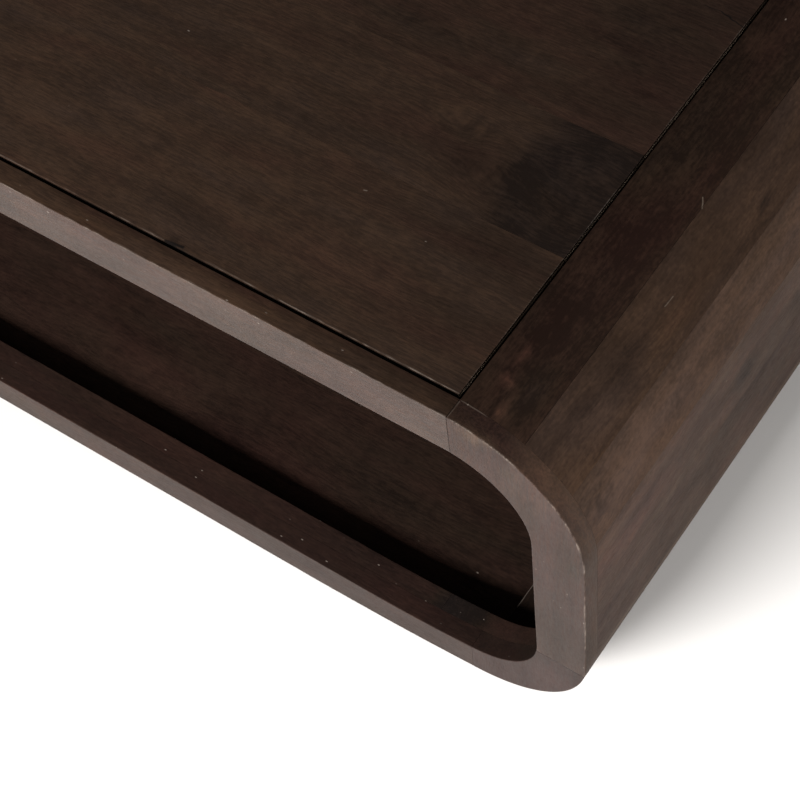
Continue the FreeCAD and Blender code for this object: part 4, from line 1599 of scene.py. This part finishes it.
@dataclass
class TopPanel:
    """Top panel of boards along the table, glued edge to edge and set into the frame with a gap."""

    frame: Frame
    arris: float = 0.8
    glued_arris: float = 0.05
    tones: tuple[float, ...] = (0.16, 0.1, -0.02, 0.12, 0.0)
    hues: tuple[float, ...] = (0.0, 0.0, 0.3, 0.1, 0.2)
    # Pale wear on the free front and back arrises, which also serves as a painted highlight along them
    edge_rub: float = 0.6
    # Painted shade: gap_shade darkens the first board's front and the last board's back in their gaps, and
    # end_gap_shade the ends in their gaps, over dark end grain
    gap_shade: float = 0.8
    end_gap_shade: float = 0.15
    gloss: Four = (0.1, 0.0, 0.0, 0.0)
    figures: tuple[Figure, ...] = figures_at(391.0, 60.0, (
        (462.0, -134.0, 54.0, 74.0, -0.95, -0.3, 0.5, 0.1, 0.2, 0.2),
        (392.0, -150.0, 34.0, 26.0, -0.2, 0.2, 0.8, 0.3, 0.3, 0.25),
        # Painted shade: the next two make the right end darker, where less light reaches
        (480.0, -260.0, 60.0, 90.0, -0.2, 0.0, 0.0, 0.35),
        (480.0, 40.0, 60.0, 200.0, -0.42, 0.0, 0.0, 0.35),
        (350.0, -118.0, 34.0, 16.0, 0.12, 0.1, 0.8, 0.3, 0.3, 0.3),
        (330.0, -150.0, 50.0, 14.0, -0.2, 0.2, 0.4, 0.3),
        (430.0, -212.0, 62.0, 18.0, -0.42, 0.0, 0.0, 0.3),
        (385.0, -248.0, 70.0, 26.0, -0.06, 0.1, 0.4, 0.35),
        (90.0, -280.0, 120.0, 40.0, 0.2, -0.1, 0.0, 0.35),
        (180.0, -300.0, 60.0, 12.0, -0.2, 0.2, 0.0, 0.35),
        (260.0, -48.0, 44.0, 12.0, -0.3, -0.3, 0.4, 0.3, 0.3, 0.3),
        (340.0, -36.0, 36.0, 14.0, -0.25, -0.3, 0.4, 0.3, 0.3, 0.3),
        (410.0, 20.0, 40.0, 30.0, -0.2, -0.2, 0.0, 0.35, 0.3, 0.3),
        (-290.0, 30.0, 46.0, 26.0, -0.5, -0.2, 0.8, 0.2, 0.3, 0.8),
        (-120.0, 170.0, 60.0, 18.0, -0.4, 0.3, 0.6, 0.25),
        (-400.0, -260.0, 40.0, 24.0, 0.3, 0.2, 0.5, 0.3),
        (240.0, 270.0, 50.0, 22.0, -0.4, -0.2, 0.7, 0.25, 0.3, 0.6),
    ))
    # The two chips at the front and the dent at the back are darkened by a painted shadow
    knocks: tuple[Knock, ...] = (
        Knock((228.0, -329.0, 400.0), 6.0, 1.2, 0.7),
        Knock((238.0, -329.0, 400.0), 4.0, 0.8, 0.6),
        Knock((-180.0, 329.0, 400.0), 5.0, 1.0, 0.3),
    )
    slot: str = "top_boards"

    @staticmethod
    def marks() -> tuple[Mark, ...]:
        """Gives the chip's painted shadow, painted light in the right end's gap, a crack there and a nick."""
        # Painted shadow in the chip at the front
        return (Mark((222.0, -328.4, 399.8), (237.0, -326.6, 400.0), 2.2, "#0d0a09", 0.9, 0.4),
                # Painted light: a lit strip on the right end face, down in the gap
                Mark((485.2, -329.0, 396.4), (485.2, 329.0, 396.4), 2.2, "#8a7a6a", 0.9, 0.5),
                Mark((486.0, 73.0, 400.0), (462.0, 80.0, 400.0), 1.2, "#0d0a09", 0.85, 1.8),
                Mark((462.0, 80.0, 400.0), (438.0, 79.0, 400.0), 0.9, "#0f0c0b", 0.6, 1.8),
                Mark((322.0, -212.5, 400.0), (324.5, -212.0, 400.0), 0.8, "#6a5f56", 0.6))

    def build(self, wood: Material) -> None:
        """Builds the boards, from the front to the back.

        Args:
            wood: wood with its grain along the table.
        """
        size = self.frame
        ribbon = rail_ribbon(size.panel_end_x, lambda x: size.outside.top, lambda x: size.panel_underside)
        for number, (tone, hue) in enumerate(zip(self.tones, self.hues)):
            node = "top_board_%d" % (number + 1)
            (_, front, _), (_, back, _) = node_box(node)
            first, last = number == 0, number == len(self.tones) - 1
            front_arris, back_arris = (self.arris if free else self.glued_arris for free in (first, last))
            Timber(
                node=node, ribbon=ribbon, front=front, back=back,
                arris=(front_arris, back_arris, self.glued_arris, self.glued_arris),
                rub=(self.edge_rub * first, self.edge_rub * last, 0.0, 0.0),
                shade=(0.0, self.gap_shade * last, 0.0, self.gap_shade * first), end_easing=self.arris,
                gloss=self.gloss, end_line=(self.end_gap_shade,) * 2, end_rub=(0.25, 0.25), hand=0.06,
                spacing=4.0, depth_spacing=5.0, tone=tone, hue=hue,
                figures=figures_within(self.figures, front, back), knocks=self.knocks, seed=11 + number,
            ).piece(wood, self.slot)


@dataclass
class ShelfFloor:
    """Floor of boards along the table, whose undersides follow the base."""

    frame: Frame
    glued_arris: float = 0.1
    tones: tuple[float, ...] = (-0.48, -0.42, -0.48, -0.42, -0.48)
    hues: tuple[float, ...] = (0.4, 0.4, 0.5, 0.4, 0.4)
    figures: tuple[Figure, ...] = figures_at(22.0, 30.0, (
        (40.0, -262.0, 50.0, 16.0, 0.25, 0.1, 0.6, 0.3),
        (170.0, -280.0, 34.0, 12.0, -0.25, 0.4, 0.0, 0.3),
        (330.0, -250.0, 60.0, 20.0, -0.2, -0.2, 0.4, 0.3),
        (500.0, -262.0, 70.0, 60.0, -0.25, -0.2, 0.4, 0.3),
    ))
    slot: str = "floor_boards"

    def build(self, wood: Material) -> None:
        """Builds the boards, from the front to the back.

        Args:
            wood: wood with its grain along the table.
        """
        size = self.frame
        ribbon = rail_ribbon(size.floor_joint_x, size.outside.base_z, lambda x: size.floor_top)
        for number, (tone, hue) in enumerate(zip(self.tones, self.hues)):
            node = "floor_board_%d" % (number + 1)
            (_, front, _), (_, back, _) = node_box(node)
            Timber(
                node=node, ribbon=ribbon, front=front, back=back, arris=(self.glued_arris,) * 4,
                gloss=(0.0, 0.0, 0.1, 0.0), hand=0.08, tone=tone, hue=hue,
                figures=figures_within(self.figures, front, back), seed=24 + number,
            ).piece(wood, self.slot)


@dataclass
class Hardware:
    """Battens, end rails, screws, nails and glides. Their CAD solids stay and get their finishes."""

    battens: tuple[str, ...] = ("top_batten_1", "top_batten_2", "top_batten_3", "left_end_rail",
                                "right_end_rail")
    screws: tuple[str, ...] = ("top_screws", "floor_screws")
    nails: tuple[str, ...] = ("glide_nails",)
    glides: tuple[str, ...] = ("glide_pads",)

    def build(self, wood: Material) -> None:
        """Dresses the CAD nodes.

        Args:
            wood: wood with its grain along the depth.
        """
        plated = FastenerSteel("zinc_plated_steel_screw").material()
        bright = FastenerSteel("bright_steel_nail", colour="#c2c0bc", dull="#a09e9a",
                               roughness=0.28).material()
        nylon = MouldedNylon("dark_brown_moulded_nylon").material()
        for names, material in ((self.battens, wood), (self.screws, plated), (self.nails, bright),
                                (self.glides, nylon)):
            for name in names:
                node = frame["nodes"][name]
                node.data.materials.clear()
                node.data.materials.append(material)
                log.info("%s: CAD solid kept, finish %s", name, material.name)


@dataclass(frozen=True)
class SoftBox:
    """A rectangular soft light, turned to the table's middle. Azimuth runs from the front to the right."""

    name: str
    azimuth: float
    elevation: float
    distance: float
    width: float
    height: float
    power: float

    def hang(self) -> None:
        """Hangs the light."""
        turn, rise = math.radians(self.azimuth), math.radians(self.elevation)
        way = np.array([math.sin(turn) * math.cos(rise), -math.cos(turn) * math.cos(rise), math.sin(rise)])
        right = np.array([math.cos(turn), math.sin(turn), 0.0])
        lamp = bpy.data.lights.new(self.name, "AREA")
        lamp.shape = "RECTANGLE"
        lamp.size, lamp.size_y = self.width * MM, self.height * MM
        lamp.energy = self.power
        box = bpy.data.objects.new(self.name, lamp)
        bpy.context.scene.collection.objects.link(box)
        box.matrix_world = basis(right, np.cross(way, right), way, way * self.distance * MM)


@dataclass
class Studio:
    """Pale floor, soft light and the camera at the photo's viewing angle."""

    eye: Triple = (989.73, -969.79, 1615.55)
    azimuth: float = 41.1376
    elevation: float = 56.1046
    roll: float = 8.1248
    lens: float = 94.1089
    sensor: float = 36.0
    floor_half: float = 9000.0
    floor_points: int = 25
    floor_colour: str = "#dbd8d5"
    boxes: tuple[SoftBox, ...] = (
        SoftBox("front_key", 0.0, 28.5, 4000.0, 1500.0, 600.0, 326.0),
        SoftBox("right_fill", 74.0, 7.0, 2500.0, 1500.0, 700.0, 75.0),
    )
    horizon: float = 0.7
    zenith: float = 0.22
    horizon_top: float = 0.5

    def build(self) -> None:
        """Sets the stage."""
        bpy.context.scene.view_settings.view_transform = "Standard"
        self.lay_floor()
        for box in self.boxes:
            box.hang()
        self.light_world()
        self.set_camera()
        log.info("studio: floor, soft boxes, world and camera")

    def lay_floor(self) -> None:
        """Lays a level pale floor, a grid of points at height 0, with a matt painted finish."""
        line = np.linspace(-self.floor_half, self.floor_half, self.floor_points) * MM
        x, y = np.meshgrid(line, line, indexing="ij")
        points = np.stack([x, y, np.zeros_like(x)], axis=-1).reshape(-1, 3)
        number = np.arange(x.size).reshape(x.shape)
        quads = np.stack([number[:-1, :-1], number[1:, :-1], number[1:, 1:], number[:-1, 1:]], axis=-1)
        mesh = bpy.data.meshes.new("studio_floor")
        mesh.from_pydata(points.tolist(), [], quads.reshape(-1, 4).tolist())
        mesh.update()
        material, tree = blank_material("matt_white_floor_paint")
        shader = add(tree, "BsdfPrincipled", {"Base Color": linear(self.floor_colour), "Roughness": 0.9,
                                              "Specular IOR Level": 0.2})
        add(tree, "OutputMaterial", {"Surface": shader})
        mesh.materials.append(material)
        floor = bpy.data.objects.new("studio_floor", mesh)
        bpy.context.scene.collection.objects.link(floor)

    def light_world(self) -> None:
        """Surrounds the table with a pale horizon that fades to a dim ceiling."""
        world = bpy.data.worlds.new("studio_surround")
        world.use_nodes = True
        tree = world.node_tree
        tree.nodes.clear()
        way = add(tree, "TexCoord", out="Generated")
        height = add(tree, "SeparateXYZ", {"Vector": way}, "Z")
        glow = add(tree, "MapRange", {"Value": height, "From Max": self.horizon_top, "To Min": self.horizon,
                                      "To Max": self.zenith}, interpolation_type="SMOOTHSTEP")
        light = add(tree, "Background", {"Color": linear("#ffffff"), "Strength": glow})
        add(tree, "OutputWorld", {"Surface": light})
        bpy.context.scene.world = world

    def set_camera(self) -> None:
        """Sets the camera by its place, the way it looks, its roll and its lens."""
        turn, drop, roll = (math.radians(a) for a in (self.azimuth, self.elevation, self.roll))
        ahead = np.array([-math.sin(turn) * math.cos(drop), math.cos(turn) * math.cos(drop),
                          -math.sin(drop)])
        level = np.array([math.cos(turn), math.sin(turn), 0.0])
        above = np.cross(level, ahead)
        right = math.cos(roll) * level - math.sin(roll) * above
        up = math.sin(roll) * level + math.cos(roll) * above
        lens = bpy.data.cameras.new("photo_camera")
        lens.lens, lens.sensor_width = self.lens, self.sensor
        lens.clip_start, lens.clip_end = 0.05, 60.0
        camera = bpy.data.objects.new("photo_camera", lens)
        bpy.context.scene.collection.objects.link(camera)
        camera.matrix_world = basis(right, up, -ahead, np.array(self.eye) * MM)
        bpy.context.scene.camera = camera


def basis(right: Array, up: Array, back: Array, place: Array) -> Matrix:
    """Makes the matrix of a lamp or a camera.

    Args:
        right: its own X axis.
        up: its own Y axis.
        back: its own Z axis.
        place: its place, in metres.

    Returns:
        The matrix that turns and moves it there.
    """
    matrix = np.eye(4)
    for column, axis in enumerate((right, up, back, place)):
        matrix[:3, column] = axis
    return Matrix(matrix.tolist())


def main() -> None:
    """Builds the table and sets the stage."""
    size = Frame()
    walls = [EndWall(size, side) for side in Side]
    wall_marks = tuple(mark for wall in walls for mark in wall.marks())
    top_wood = StainedMango("stained_mango_top", Grain.LENGTH, marks=TopPanel.marks()).material()
    wall_wood = StainedMango("stained_mango_end_wall", Grain.DEPTH, marks=wall_marks,
                             fibres=Streaks(12.0, 1.7, 0.36, 0.64, 2.0, 0.17),
                             clouds=Streaks(70.0, 24.0, 0.32, 0.68, 2.0, 0.26),
                             mottle=Streaks(4.0, 2.6, 0.30, 0.70, 1.0, 0.2)).material()
    floor_wood = StainedMango("stained_mango_floor", Grain.LENGTH).material()
    rail_wood = StainedMango("stained_mango_rail", Grain.LENGTH, speck_spacing=7.0).material()
    side_wood = StainedMango("stained_mango_side", Grain.HEIGHT, speck_spacing=9.0,
                             marks=OuterRing.marks()).material()
    OuterRing(size).build(rail_wood, side_wood)
    InnerRing(size).build(rail_wood, side_wood)
    for wall in walls:
        wall.build(wall_wood)
    TopPanel(size).build(top_wood)
    ShelfFloor(size).build(floor_wood)
    Hardware().build(wall_wood)
    Studio().build()


if __name__ == "__main__":
    main()
